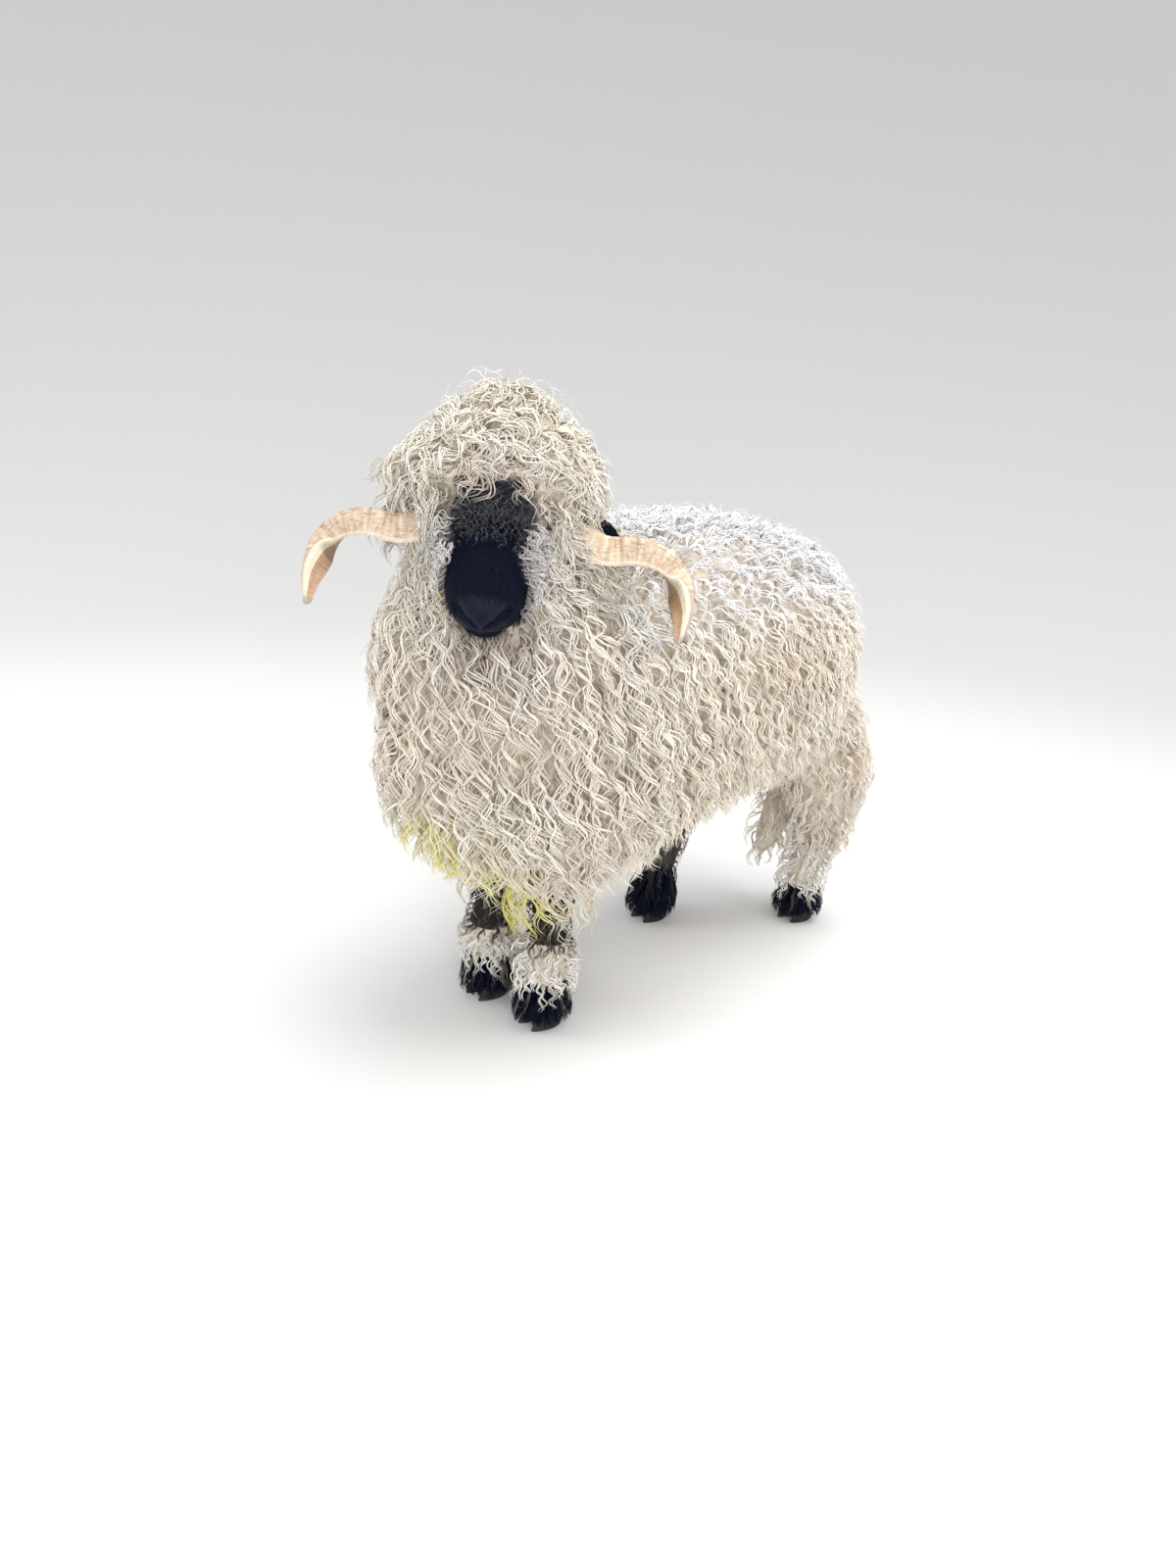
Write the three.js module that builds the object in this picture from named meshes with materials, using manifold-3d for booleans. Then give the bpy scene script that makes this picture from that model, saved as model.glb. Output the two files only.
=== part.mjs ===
// A Valais Blacknose ram in full fleece, standing with the head turned to its left.
// Millimetres, +X the way the body faces, +Y its left side, +Z up, soles at z = 0.
import * as THREE from 'three';
import { mergeVertices } from 'three/addons/utils/BufferGeometryUtils.js';
import Module from 'manifold-3d';

const wasm = await Module();
wasm.setup();

// The animal's middle plane lies a little to the right of the design origin.
const MIDDLE_Y = -10;
// Meshes that touch keep this gap.
const GAP = 0.3;
// A cupped ear needs a little more, because its facets turn as it swells.
const EAR_GAP = 0.6;

// The head: the point between the ears that its sizes are taken from, and how it is held.
const HEAD_CENTRE = new THREE.Vector3(466, 51, 905);
const HEAD_YAW = THREE.MathUtils.degToRad(45);
const HEAD_TILT = THREE.MathUtils.degToRad(2);
const FACE_PITCH = THREE.MathUtils.degToRad(53);
// The end of the nose bridge, forward of the head's centre and above it.
const NOSE_FORWARD = 172;
const NOSE_UP = -116;

// The left eye from the head's centre, forward, left and up, and the way it looks out.
const EYE_PLACE = [73, 55, -45];
const EYE_LOOK = [0.6, 0.78, 0.08];
const EYE_RADIUS = 14;
// Half sizes of the mound that the lids make: along the face, across it, and outward.
const LID_MOUND = [23, 18, 16];
const LID_GAP = [14, 7.5, 11];
const LID_GAP_OUT = 3;
// The hollow in the wool that an eye looks out of.
const EYE_HOLLOW = [34, 30, 26];
const EYE_HOLLOW_OUT = 22;

// Places on the face are [back from the nose end, left, out from the nose bridge].
const JAW_PLACE = [32, 0, -76];
const JAW_HALF = [46, 33, 22];
const NOSTRIL_PLACE = [-7, 18, -19];
const NOSTRIL_HALF = [10, 4.5, 9];
const NOSTRIL_SLANT = 0.64;
// The slot of the mouth, and the groove that runs from it up to the nose.
const MOUTH_OUT = -66;
const MOUTH_GAP = 3;
const MOUTH_CORNER = 52;
const MOUTH_DEPTH = 6;
const GROOVE_WIDTH = 2.4;
const GROOVE_TOP = -26;
const GROOVE_BACK = 4;
const PAST_NOSE = 40;
const PAST_CHEEK = 70;
const FACE_SIDES = 14;
const FACE_RINGS = 12;

const HORN_SIDES = 9;
const HORN_STEPS = 17;
const HORN_RING_DEPTH = 0.045;
const HORN_RINGED = 0.85;
const HORN_FLATNESS = 0.68;
const HORN_KEEL = 1.12;
// Both horns sit a little to the animal's left of the head's middle, as the turned head shows.
const HORN_LEFTWARD = 12;
// The broad faces of horns and ears look forward and this much upward.
const FRONT_LEAN = 0.35;

// The left ear from the head's centre: forward, left, up.
const EAR_ROOT = [-36, 84, -28];
const EAR_TIP = [-84, 176, -70];
const EAR_LENGTH = 118;
const EAR_WIDTH = 54;
const EAR_THICKNESS = 5;
const EAR_THINNING = 0.45;
const EAR_EDGE_THINNING = 0.3;
const EAR_CUP = 13;
const EAR_NARROWEST = 0.34;
const EAR_BLUNT_END = 0.95;

// Where each foot stands: forward, left.
const FOOT_PLACES = {
  front_left: [306, 42],
  front_right: [314, -90],
  hind_left: [-405, 66],
  hind_right: [-150, -122],
};
const FOOT_TOP = 75;
const FOOT_BOTTOM = 13;
const CLAW_FRONT = 40;
const CLAW_BACK = 26;
const CLAW_HALF_WIDTH = 14.5;
const CLAW_HEIGHT = 34;
const CLAW_OFFSET = 17;
const CLAW_TAPER = 0.22;
const CLAW_CONVERGING = 0.12;
const CLAW_LEAN = 9;
const CLAW_TOE_RISE = 6;
const CLAW_SQUARE = 0.96;
const CLAW_SIDES = 10;

// The fleece: a core lies this far inside the tips, and locks fused to it reach out to them.
const TRUNK_COAT = 40;
const RUFF_COAT = 50;
const HEAD_COAT = 38;
const THIGH_COAT = 30;
const TAIL_COAT = 24;
const TAIL_ROOM = 6;
const TAIL_MARGIN = 1;
const SHANK_COAT = 15;
const FOOT_COAT = 12;
// A core keeps at least this share of the outline's reach, so that thin limbs stay whole.
const SLIMMEST_CORE = 0.62;
const LOCK_SEED = 20;

// The seams between head, neck, trunk and thighs.
const WITHERS = new THREE.Vector3(220, 0, 870);
const CHEST_FRONT = new THREE.Vector3(600, 0, 420);
const THIGH_FRONT = -130;
const THIGH_TOP = 430;
const SHANK_FRONT = -40;
const SHANK_TOP = 330;
const NAPE_PLACE = [-120, 0, -30];
const NAPE_PITCH = THREE.MathUtils.degToRad(60);
const BIG = 4000;

const FORWARD = new THREE.Vector3(1, 0, 0);
const LEFT = new THREE.Vector3(0, 1, 0);
const UP = new THREE.Vector3(0, 0, 1);

// The head's own directions.
const headForward = new THREE.Vector3(Math.cos(HEAD_YAW), Math.sin(HEAD_YAW), 0);
const levelLeft = new THREE.Vector3(-Math.sin(HEAD_YAW), Math.cos(HEAD_YAW), 0);
const headLeft = levelLeft.clone().multiplyScalar(Math.cos(HEAD_TILT))
  .addScaledVector(UP, -Math.sin(HEAD_TILT));
const headUp = new THREE.Vector3().crossVectors(headForward, headLeft);

function onHead(forward, left, up) {
  return HEAD_CENTRE.clone().addScaledVector(headForward, forward)
    .addScaledVector(headLeft, left).addScaledVector(headUp, up);
}

// The face runs down the nose bridge, and its front is square to that line.
const faceDown = headForward.clone().multiplyScalar(Math.cos(FACE_PITCH))
  .addScaledVector(headUp, -Math.sin(FACE_PITCH));
const faceFront = headForward.clone().multiplyScalar(Math.sin(FACE_PITCH))
  .addScaledVector(headUp, Math.cos(FACE_PITCH));
const noseEnd = onHead(NOSE_FORWARD, 0, NOSE_UP);

// A place on the face: back from the nose end, to the left, and out from the nose bridge.
function onFace(back, left, out) {
  return noseEnd.clone().addScaledVector(faceDown, -back)
    .addScaledVector(headLeft, left).addScaledVector(faceFront, out);
}

// A closed three.js geometry, each vertex moved by place, as a solid that can be joined and cut.
function shaped(base, place) {
  const bare = new THREE.BufferGeometry();
  bare.setAttribute('position', base.getAttribute('position'));
  bare.setIndex(base.getIndex());
  const merged = mergeVertices(bare, 1e-5);
  const position = merged.getAttribute('position');
  const index = merged.getIndex().array;
  const points = [];
  for (let i = 0; i < position.count; i += 1) {
    points.push(place(new THREE.Vector3().fromBufferAttribute(position, i)));
  }
  let volume = 0;
  for (let i = 0; i < index.length; i += 3) {
    const [a, b, c] = [points[index[i]], points[index[i + 1]], points[index[i + 2]]];
    volume += a.dot(new THREE.Vector3().crossVectors(b, c));
  }
  const triVerts = Uint32Array.from(index);
  if (volume < 0) triVerts.reverse();
  const vertProperties = Float32Array.from(points.flatMap((p) => p.toArray()));
  return new wasm.Manifold(new wasm.Mesh({ numProp: 3, vertProperties, triVerts }));
}

function swollen(reach, grow) {
  return Math.max(reach + grow, SLIMMEST_CORE * reach);
}

// A smooth body along a line of stations, each [centre, half width, reach above, reach below].
// The sections lie in the plane of side and up, and a grow above 0 swells them all round.
// A fullness above 2 squares the sections' upper or lower corners, as a fleece that hangs like
// a curtain does.
function form(stations, side, up, fullness = [2, 2]) {
  const middle = new THREE.CatmullRomCurve3(stations.map(([at]) => at));
  const reach = new THREE.CatmullRomCurve3(
    stations.map(([, wide, above, below]) => new THREE.Vector3(wide, above, below)),
  );
  const heart = middle.getPoint(0.5);
  const halfLength = middle.getPoint(0).distanceTo(middle.getPoint(1)) / 2;
  function at(t, turn, grow = 0) {
    const size = reach.getPoint(t);
    const cosine = Math.cos(turn);
    const sine = Math.sin(turn);
    const power = sine > 0 ? fullness[0] : fullness[1];
    const square = (Math.abs(cosine) ** power + Math.abs(sine) ** power) ** (-1 / power);
    const across = swollen(size.x, grow) * cosine * square;
    const rise = swollen(sine > 0 ? size.y : size.z, grow) * sine * square;
    return middle.getPoint(t).sub(heart).multiplyScalar(1 + grow / halfLength).add(heart)
      .addScaledVector(side, across).addScaledVector(up, rise);
  }
  function body(sides, rings, grow = 0) {
    return shaped(new THREE.SphereGeometry(1, sides, rings), (v) => {
      const t = Math.acos(THREE.MathUtils.clamp(v.y, -1, 1)) / Math.PI;
      if (t < 1e-3 || t > 1 - 1e-3) {
        return middle.getPoint(Math.round(t)).sub(heart)
          .multiplyScalar(1 + grow / halfLength).add(heart);
      }
      return at(t, Math.atan2(v.z, v.x), grow);
    });
  }
  return { at, body };
}

// Seeded random numbers between -1 and 1, so that the locks always fall alike.
let randomState = LOCK_SEED;
function jitter() {
  randomState = (randomState * 1664525 + 1013904223) % 4294967296;
  return randomState / 2147483648 - 1;
}

// How far a lock stands from the core (0) towards the outline of the tips (1) along its length.
const standCurve = new THREE.CatmullRomCurve3(
  [-0.6, 0.16, 0.36, 0.48, 0.82].map((stand) => new THREE.Vector3(stand, 0, 0)),
);

// One lock: a flat tapered body rooted in the core that bends over and lies along the coat.
// lie is the change of t and turn over its whole length.
function makeLock(shape, coat, t, turn, lie, lock) {
  const phase = Math.PI * jitter();
  const hang = lock.hang ?? 0;
  function lineAt(s) {
    const tHere = THREE.MathUtils.clamp(t + lie.t * s, 0.004, 0.996);
    const turnHere = turn + lie.turn * s;
    const core = shape.at(tHere, turnHere, -coat);
    const tips = shape.at(tHere, turnHere);
    const out = tips.clone().sub(core).normalize();
    const stand = standCurve.getPoint(THREE.MathUtils.clamp(s, 0, 1)).x;
    const centre = core.lerp(tips, stand);
    centre.z -= hang * s * s;
    return { centre, out };
  }
  return shaped(new THREE.ConeGeometry(1, 1, lock.sides, lock.steps), (v) => {
    const left = 0.5 - v.y;
    const s = 1 - left ** 1.5;
    const { centre, out } = lineAt(s);
    const ahead = lineAt(s + 0.02).centre.sub(lineAt(s - 0.02).centre).normalize();
    const across = new THREE.Vector3().crossVectors(ahead, out).normalize();
    const flat = new THREE.Vector3().crossVectors(across, ahead).normalize();
    const swing = lock.wave * Math.sin(phase + Math.PI * 2 * lock.waves * s) * Math.min(1, 2 * s);
    const round = left > 1e-6 ? 1 / left : 0;
    const taper = (0.9 + 1.1 * s) * (1 - s) ** 0.62;
    return centre.addScaledVector(across, v.x * round * lock.wide * taper / 2 + swing)
      .addScaledVector(flat, v.z * round * lock.thick * taper / 2);
  });
}

// Rows of locks over a form, staggered from row to row and a little uneven. The plan gives each
// lock its lie and sizes, or null where none grows.
function locksOver(shape, plan, { coat, rows, spacing, from, to, fewest = 3 }) {
  const locks = [];
  for (let row = 0; row < rows; row += 1) {
    const t = from + ((to - from) * (row + 0.5)) / rows;
    const ring = Array.from({ length: 25 }, (_, i) => shape.at(t, (i * Math.PI) / 12, -coat));
    const around = ring.slice(1).reduce((sum, here, i) => sum + here.distanceTo(ring[i]), 0);
    const count = Math.max(fewest, Math.round(around / spacing));
    for (let i = 0; i < count; i += 1) {
      const tHere = t + (0.22 * jitter() * (to - from)) / rows;
      const turn = (2 * Math.PI * (i + 0.5 * (row % 2) + 0.2 * jitter())) / count;
      const lock = plan(shape.at(tHere, turn, -coat), tHere, turn);
      if (lock) locks.push(makeLock(shape, coat, tHere, turn, lock.lie, lock));
    }
  }
  return locks;
}

// An ellipsoid with its own directions and half sizes.
function ellipsoid(centre, axes, halfSizes, sides = 12, rings = 8) {
  return shaped(new THREE.SphereGeometry(1, sides, rings), (v) => centre.clone()
    .addScaledVector(axes[0], v.x * halfSizes[0])
    .addScaledVector(axes[1], v.y * halfSizes[1])
    .addScaledVector(axes[2], v.z * halfSizes[2]));
}

// All that lies past a plane, on the side that its normal points to.
function beyond(point, normal) {
  const turn = new THREE.Quaternion().setFromUnitVectors(UP, normal.clone().normalize());
  return shaped(new THREE.BoxGeometry(BIG, BIG, BIG), (v) => v.add(new THREE.Vector3(0, 0, BIG / 2))
    .applyQuaternion(turn).add(point));
}

function box(low, high) {
  const size = high.map((value, i) => value - low[i]);
  return shaped(new THREE.BoxGeometry(...size), (v) => v.add(new THREE.Vector3(
    (low[0] + high[0]) / 2,
    (low[1] + high[1]) / 2,
    (low[2] + high[2]) / 2,
  )));
}

function joined(solids) {
  return solids.reduce((whole, piece) => whole.add(piece));
}

// Cutting can leave loose scraps: only the largest closed surface is the part.
function largest(solid) {
  return solid.decompose().reduce((best, piece) => (piece.volume() > best.volume() ? piece : best));
}

const point = (x, y, z) => new THREE.Vector3(x, y, z);

// Trunk: the outline of the fleece from rump to brisket, station by station along the body.
const trunk = form([
  [point(-468, MIDDLE_Y, 560), 1, 1, 1],
  [point(-448, MIDDLE_Y, 560), 92, 112, 130],
  [point(-396, MIDDLE_Y, 568), 152, 186, 190],
  [point(-300, MIDDLE_Y, 582), 208, 233, 222],
  [point(-150, MIDDLE_Y, 604), 248, 252, 240],
  [point(0, MIDDLE_Y, 606), 260, 259, 246],
  [point(150, MIDDLE_Y, 596), 262, 268, 262],
  [point(300, MIDDLE_Y, 572), 248, 290, 292],
  [point(420, MIDDLE_Y, 552), 208, 286, 268],
  [point(515, MIDDLE_Y, 545), 148, 232, 226],
  [point(576, MIDDLE_Y, 530), 80, 130, 130],
  [point(600, MIDDLE_Y, 520), 1, 1, 1],
], LEFT, UP, [2.4, 4.6]);

// Neck and ruff: a thick column that rises from the shoulders to the head.
const ruff = form([
  [point(350, 0, 430), 1, 1, 1],
  [point(365, 0, 475), 165, 185, 110],
  [point(385, 4, 565), 212, 215, 200],
  [point(395, 10, 660), 214, 214, 202],
  [point(405, 18, 750), 190, 200, 195],
  [point(425, 30, 830), 158, 165, 172],
  [point(445, 42, 890), 128, 125, 140],
  [point(455, 46, 930), 1, 1, 1],
], LEFT, FORWARD);

// The woolly head: topknot above, cheek wool beside the face below.
const headStations = [
  [172, -30, 1, 1, 1],
  [156, -28, 58, 54, 56],
  [112, -20, 108, 100, 106],
  [62, -10, 138, 128, 134],
  [25, 0, 154, 128, 146],
  [-10, 0, 156, 98, 148],
  [-50, 0, 148, 66, 144],
  [-95, 0, 132, 74, 134],
  [-135, 0, 112, 78, 122],
  [-170, -4, 88, 62, 100],
  [-195, -10, 1, 1, 1],
];
const woolHead = form(headStations.map(([rise, forward, wide, front, back]) => (
  [onHead(forward, 2, rise), wide, front, back])), headLeft, headForward);

// The face from chin to brow: [back, centre below the bridge, half width, above, below].
const faceStations = [
  [-17, -40, 1, 1, 1],
  [-11, -40, 27, 26, 28],
  [3, -42, 43, 40, 40],
  [26, -46, 52, 46, 44],
  [56, -50, 56, 51, 48],
  [90, -54, 60, 56, 54],
  [125, -60, 68, 64, 66],
  [160, -64, 71, 66, 72],
  [196, -68, 62, 60, 62],
  [228, -72, 1, 1, 1],
];
const skull = form(faceStations.map(([back, low, wide, above, below]) => (
  [onFace(back, 0, low), wide, above, below])), headLeft, faceFront);

// A place on the head given for its left side, or mirrored to its right.
const onSide = (sign, [forward, left, up]) => onHead(forward, sign * left, up);
const eyePlace = (sign) => onSide(sign, EYE_PLACE);
const eyeOut = (sign) => onSide(sign, EYE_LOOK).sub(HEAD_CENTRE).normalize();

function eyeBall(sign, grow = 0) {
  const r = EYE_RADIUS + grow;
  return ellipsoid(eyePlace(sign), eyeAxes(sign), [r, r, r], 10, 6);
}

// The directions of an eye: along the face, across it, and outward.
function eyeAxes(sign) {
  const out = eyeOut(sign);
  const along = faceDown.clone().addScaledVector(out, -faceDown.dot(out)).normalize();
  return [along, new THREE.Vector3().crossVectors(out, along), out];
}

function lidOpening(sign) {
  const centre = eyePlace(sign).addScaledVector(eyeOut(sign), EYE_RADIUS + LID_GAP_OUT);
  return ellipsoid(centre, eyeAxes(sign), LID_GAP, 8, 6);
}

// A straight block on the face between two corners, each [back, left, out].
function faceBlock(low, high) {
  return shaped(new THREE.BoxGeometry(1, 1, 1), (v) => onFace(
    THREE.MathUtils.lerp(low[0], high[0], v.x + 0.5),
    THREE.MathUtils.lerp(low[1], high[1], v.y + 0.5),
    THREE.MathUtils.lerp(low[2], high[2], v.z + 0.5),
  ));
}

const faceAxes = [faceDown.clone().negate(), headLeft, faceFront];

function makeFace(grow = 0) {
  let face = skull.body(FACE_SIDES, FACE_RINGS, grow);
  const jaw = JAW_HALF.map((size) => size + grow);
  face = face.add(ellipsoid(onFace(...JAW_PLACE), faceAxes, jaw, 10, 8));
  for (const sign of [1, -1]) {
    const mound = LID_MOUND.map((size) => size + grow);
    face = face.add(ellipsoid(eyePlace(sign), eyeAxes(sign), mound, 10, 6));
  }
  return face;
}

// What is cut from the muzzle: the line of the mouth, the groove of the lip and the nostrils.
function muzzleCuts() {
  const lip = MOUTH_OUT + MOUTH_GAP;
  const mouth = faceBlock([-PAST_NOSE, -PAST_CHEEK, MOUTH_OUT], [MOUTH_CORNER, PAST_CHEEK, lip]);
  const lipGroove = faceBlock(
    [-PAST_NOSE, -GROOVE_WIDTH / 2, lip],
    [GROOVE_BACK, GROOVE_WIDTH / 2, GROOVE_TOP],
  );
  const lines = mouth.add(lipGroove).subtract(skull.body(FACE_SIDES, FACE_RINGS, -MOUTH_DEPTH));
  const nostrils = [1, -1].map((sign) => {
    const long = headLeft.clone().multiplyScalar(sign * Math.cos(NOSTRIL_SLANT))
      .addScaledVector(faceFront, Math.sin(NOSTRIL_SLANT));
    const across = new THREE.Vector3().crossVectors(faceDown, long).normalize();
    const [back, left, out] = NOSTRIL_PLACE;
    return ellipsoid(onFace(back, sign * left, out), [long, across, faceDown], NOSTRIL_HALF, 6, 4);
  });
  return joined([lines, ...nostrils]);
}

function eyeHollow(sign) {
  const centre = eyePlace(sign).addScaledVector(eyeOut(sign), EYE_HOLLOW_OUT);
  return ellipsoid(centre, [headForward, headLeft, headUp], EYE_HOLLOW, 8, 6);
}

// A horn leaves the skull sideways, bends down and turns its tip forward: [forward, left, up, width].
const hornLine = [
  [-16, 74, -40, 60],
  [-4, 106, -56, 60],
  [10, 142, -66, 58],
  [6, 188, -62, 53],
  [2, 222, -70, 48],
  [10, 248, -98, 42],
  [42, 257, -128, 33],
  [78, 254, -150, 20],
  [96, 250, -160, 9],
];

function makeHorn(sign, grow = 0) {
  const line = new THREE.CatmullRomCurve3(
    hornLine.map(([forward, left, up]) => onHead(forward, sign * left + HORN_LEFTWARD, up)),
  );
  const width = new THREE.CatmullRomCurve3(
    hornLine.map(([, , , wide]) => new THREE.Vector3(wide, 0, 0)),
  );
  const thin = headForward.clone().addScaledVector(headUp, FRONT_LEAN);
  return shaped(new THREE.CylinderGeometry(1, 1, 1, HORN_SIDES, HORN_STEPS), (v) => {
    const t = 0.5 - v.y;
    const along = line.getTangent(t);
    const flat = thin.clone().addScaledVector(along, -thin.dot(along)).normalize();
    const broad = new THREE.Vector3().crossVectors(along, flat);
    const ring = Math.round(t * HORN_STEPS) % 2 === 0 ? 1 + HORN_RING_DEPTH : 1 - HORN_RING_DEPTH;
    const half = (width.getPoint(t).x / 2) * (t < HORN_RINGED ? ring : 1) + grow;
    const keel = v.z > 0 ? 1 : HORN_KEEL;
    const end = t === 0 ? -grow : 0;
    return line.getPoint(t).addScaledVector(broad, v.z * half * keel)
      .addScaledVector(flat, v.x * (half * HORN_FLATNESS)).addScaledVector(along, end);
  });
}

// An ear: a leaf cupped along its length, that lies out and back behind the horn.
function makeEar(sign, grow = 0) {
  const root = onSide(sign, EAR_ROOT);
  const along = onSide(sign, EAR_TIP).sub(root).normalize();
  const face = headForward.clone().addScaledVector(headUp, FRONT_LEAN);
  const open = face.addScaledVector(along, -face.dot(along)).normalize();
  const across = new THREE.Vector3().crossVectors(along, open);
  return shaped(new THREE.BoxGeometry(1, 1, 1, 4, 7, 1), (v) => {
    const t = v.y + 0.5;
    const swell = Math.sin(Math.PI * Math.min(1, 0.12 + t * 0.93)) ** 0.8;
    const leaf = t > EAR_BLUNT_END ? 0 : swell;
    const trueHalf = (EAR_WIDTH / 2) * THREE.MathUtils.lerp(EAR_NARROWEST, 1, leaf);
    const edge = 2 * v.x * (1 + grow / trueHalf);
    const lift = EAR_CUP * (edge * edge - 0.5) * (1 - 0.5 * t);
    const thinned = (1 - EAR_THINNING * t) * (1 - EAR_EDGE_THINNING * Math.abs(edge));
    const thick = EAR_THICKNESS * thinned + 2 * grow;
    return root.clone().addScaledVector(along, t * (EAR_LENGTH + 2 * grow) - grow)
      .addScaledVector(across, edge * trueHalf)
      .addScaledVector(open, lift + v.z * thick);
  });
}

// Legs: [height, forward, left, half width, front, back], the last four from the foot's place.
const frontLegStations = [
  [50, 0, 0, 44, 46, 44],
  [90, 0, 0, 56, 56, 52],
  [140, 0, 1, 54, 54, 50],
  [172, 0, 3, 44, 46, 42],
  [220, 2, 6, 45, 48, 42],
  [280, 4, 10, 50, 52, 50],
  [350, 6, 16, 58, 60, 62],
  [415, 4, 22, 62, 64, 68],
  [440, 4, 24, 1, 1, 1],
];
const hindLeftStations = [
  [50, 0, 0, 40, 42, 40],
  [90, -6, 3, 54, 54, 50],
  [150, -22, 12, 58, 58, 54],
  [210, -26, 22, 66, 68, 62],
  [270, -4, 34, 78, 86, 74],
  [330, 30, 46, 96, 106, 92],
  [400, 62, 44, 112, 122, 100],
  [480, 100, 28, 104, 140, 116],
  [560, 130, 18, 84, 110, 96],
  [600, 140, 15, 1, 1, 1],
];
const hindRightStations = [
  [50, 0, 0, 40, 42, 40],
  [90, -10, 0, 44, 46, 44],
  [150, -36, -2, 48, 50, 46],
  [210, -62, -3, 58, 58, 58],
  [270, -80, -2, 72, 76, 76],
  [330, -98, 4, 88, 96, 96],
  [400, -115, 14, 104, 116, 120],
  [480, -124, 24, 108, 130, 140],
  [560, -128, 34, 96, 110, 120],
  [600, -128, 38, 1, 1, 1],
];

function legForm(name, stations) {
  const [x, y] = FOOT_PLACES[name];
  const outward = name === 'front_right' ? -1 : 1;
  return form(stations.map(([height, forward, left, wide, front, back]) => (
    [point(x + forward, y + outward * left, height), wide, front, back])), LEFT, FORWARD);
}

function footForm([x, y]) {
  return form([
    [point(x - 2, y, 112), 1, 1, 1],
    [point(x - 2, y, 96), 38, 38, 36],
    [point(x - 1, y, 70), 41, 42, 38],
    [point(x, y, 40), 43, 46, 40],
    [point(x, y, 14), 44, 50, 40],
    [point(x, y, 4), 1, 1, 1],
  ], LEFT, FORWARD);
}

// One hoof claw: a blunt wedge with a flat sole, higher at the toe than at the heel.
function makeClaw([x, y], sign, grow = 0) {
  return shaped(new THREE.CylinderGeometry(1, 1, 1, CLAW_SIDES, 1), (v) => {
    const high = v.y + 0.5;
    const taper = 1 - CLAW_TAPER * high;
    const length = v.x > 0 ? CLAW_FRONT : CLAW_BACK;
    const square = Math.abs(v.x) > 0.9 ? CLAW_SQUARE : 1;
    const rise = high > 0.5 ? CLAW_HEIGHT + CLAW_TOE_RISE * v.x + grow : -grow;
    const aside = sign * CLAW_OFFSET * (1 - CLAW_CONVERGING * high);
    return point(
      x + v.x * square * (length * taper + grow) - CLAW_LEAN * high,
      y + aside + v.z * (CLAW_HALF_WIDTH * taper + grow),
      rise,
    );
  });
}

// The tail is undocked and hangs close behind the thighs.
const tailForm = form([
  [point(-400, MIDDLE_Y, 758), 1, 1, 1],
  [point(-424, MIDDLE_Y, 738), 40, 34, 38],
  [point(-458, MIDDLE_Y, 670), 52, 40, 44],
  [point(-472, MIDDLE_Y, 570), 60, 44, 48],
  [point(-468, MIDDLE_Y, 440), 64, 46, 50],
  [point(-452, MIDDLE_Y - 6, 310), 64, 48, 48],
  [point(-432, MIDDLE_Y - 16, 210), 56, 46, 44],
  [point(-410, MIDDLE_Y - 26, 125), 44, 40, 36],
  [point(-398, MIDDLE_Y - 30, 78), 1, 1, 1],
], LEFT, FORWARD);

// The fleece is modelled whole, then parted by thin plane cuts.
const hindForms = {
  hind_left: legForm('hind_left', hindLeftStations),
  hind_right: legForm('hind_right', hindRightStations),
};
const frontForms = {
  front_left: legForm('front_left', frontLegStations),
  front_right: legForm('front_right', frontLegStations),
};

const neckLine = CHEST_FRONT.clone().sub(WITHERS);
const neckSide = new THREE.Vector3(-neckLine.z, 0, neckLine.x).normalize();
const napeSide = headForward.clone().multiplyScalar(Math.cos(NAPE_PITCH))
  .addScaledVector(headUp, Math.sin(NAPE_PITCH));
const nape = onHead(...NAPE_PLACE);

function pastPlane(place, normal, offset) {
  return beyond(place.clone().addScaledVector(normal, offset), normal);
}

function thighRegion(sign, margin) {
  const low = sign > 0 ? MIDDLE_Y + GAP / 2 - margin : -BIG;
  const high = sign > 0 ? BIG : MIDDLE_Y - GAP / 2 + margin;
  return box([-BIG, low, FOOT_TOP + GAP / 2 - margin], [THIGH_FRONT + margin, high, THIGH_TOP + margin])
    .add(box([-BIG, low, FOOT_TOP + GAP / 2 - margin], [SHANK_FRONT + margin, high, SHANK_TOP + margin]));
}

function pastSeam(at, place, normal) {
  return at.clone().sub(place).dot(normal);
}

// Locks overlap a seam by this much, so that none leaves a bare strip beside it.
const SEAM_OVERLAP = 12;
const RUFF_OVERLAP = 45;
// The sine of the turn round the trunk, 1 on the spine and -1 under the belly, where the curls of
// the back end, where the hem of the flanks begins, and where the belly begins.
const BACK_FROM = 0.8;
const HEM_FROM = -0.35;
const BELLY_FROM = -0.86;
// The brow and face stay clear below this height on the head, this far to each side.
const BROW_HEIGHT = 24;
const BROW_HALF_ANGLE = 0.62;
// Locks of the hind legs are shorter below this height, and end this far above the feet.
const HOCK_TOP = 240;
const BAND_HEIGHT = 40;

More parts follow.
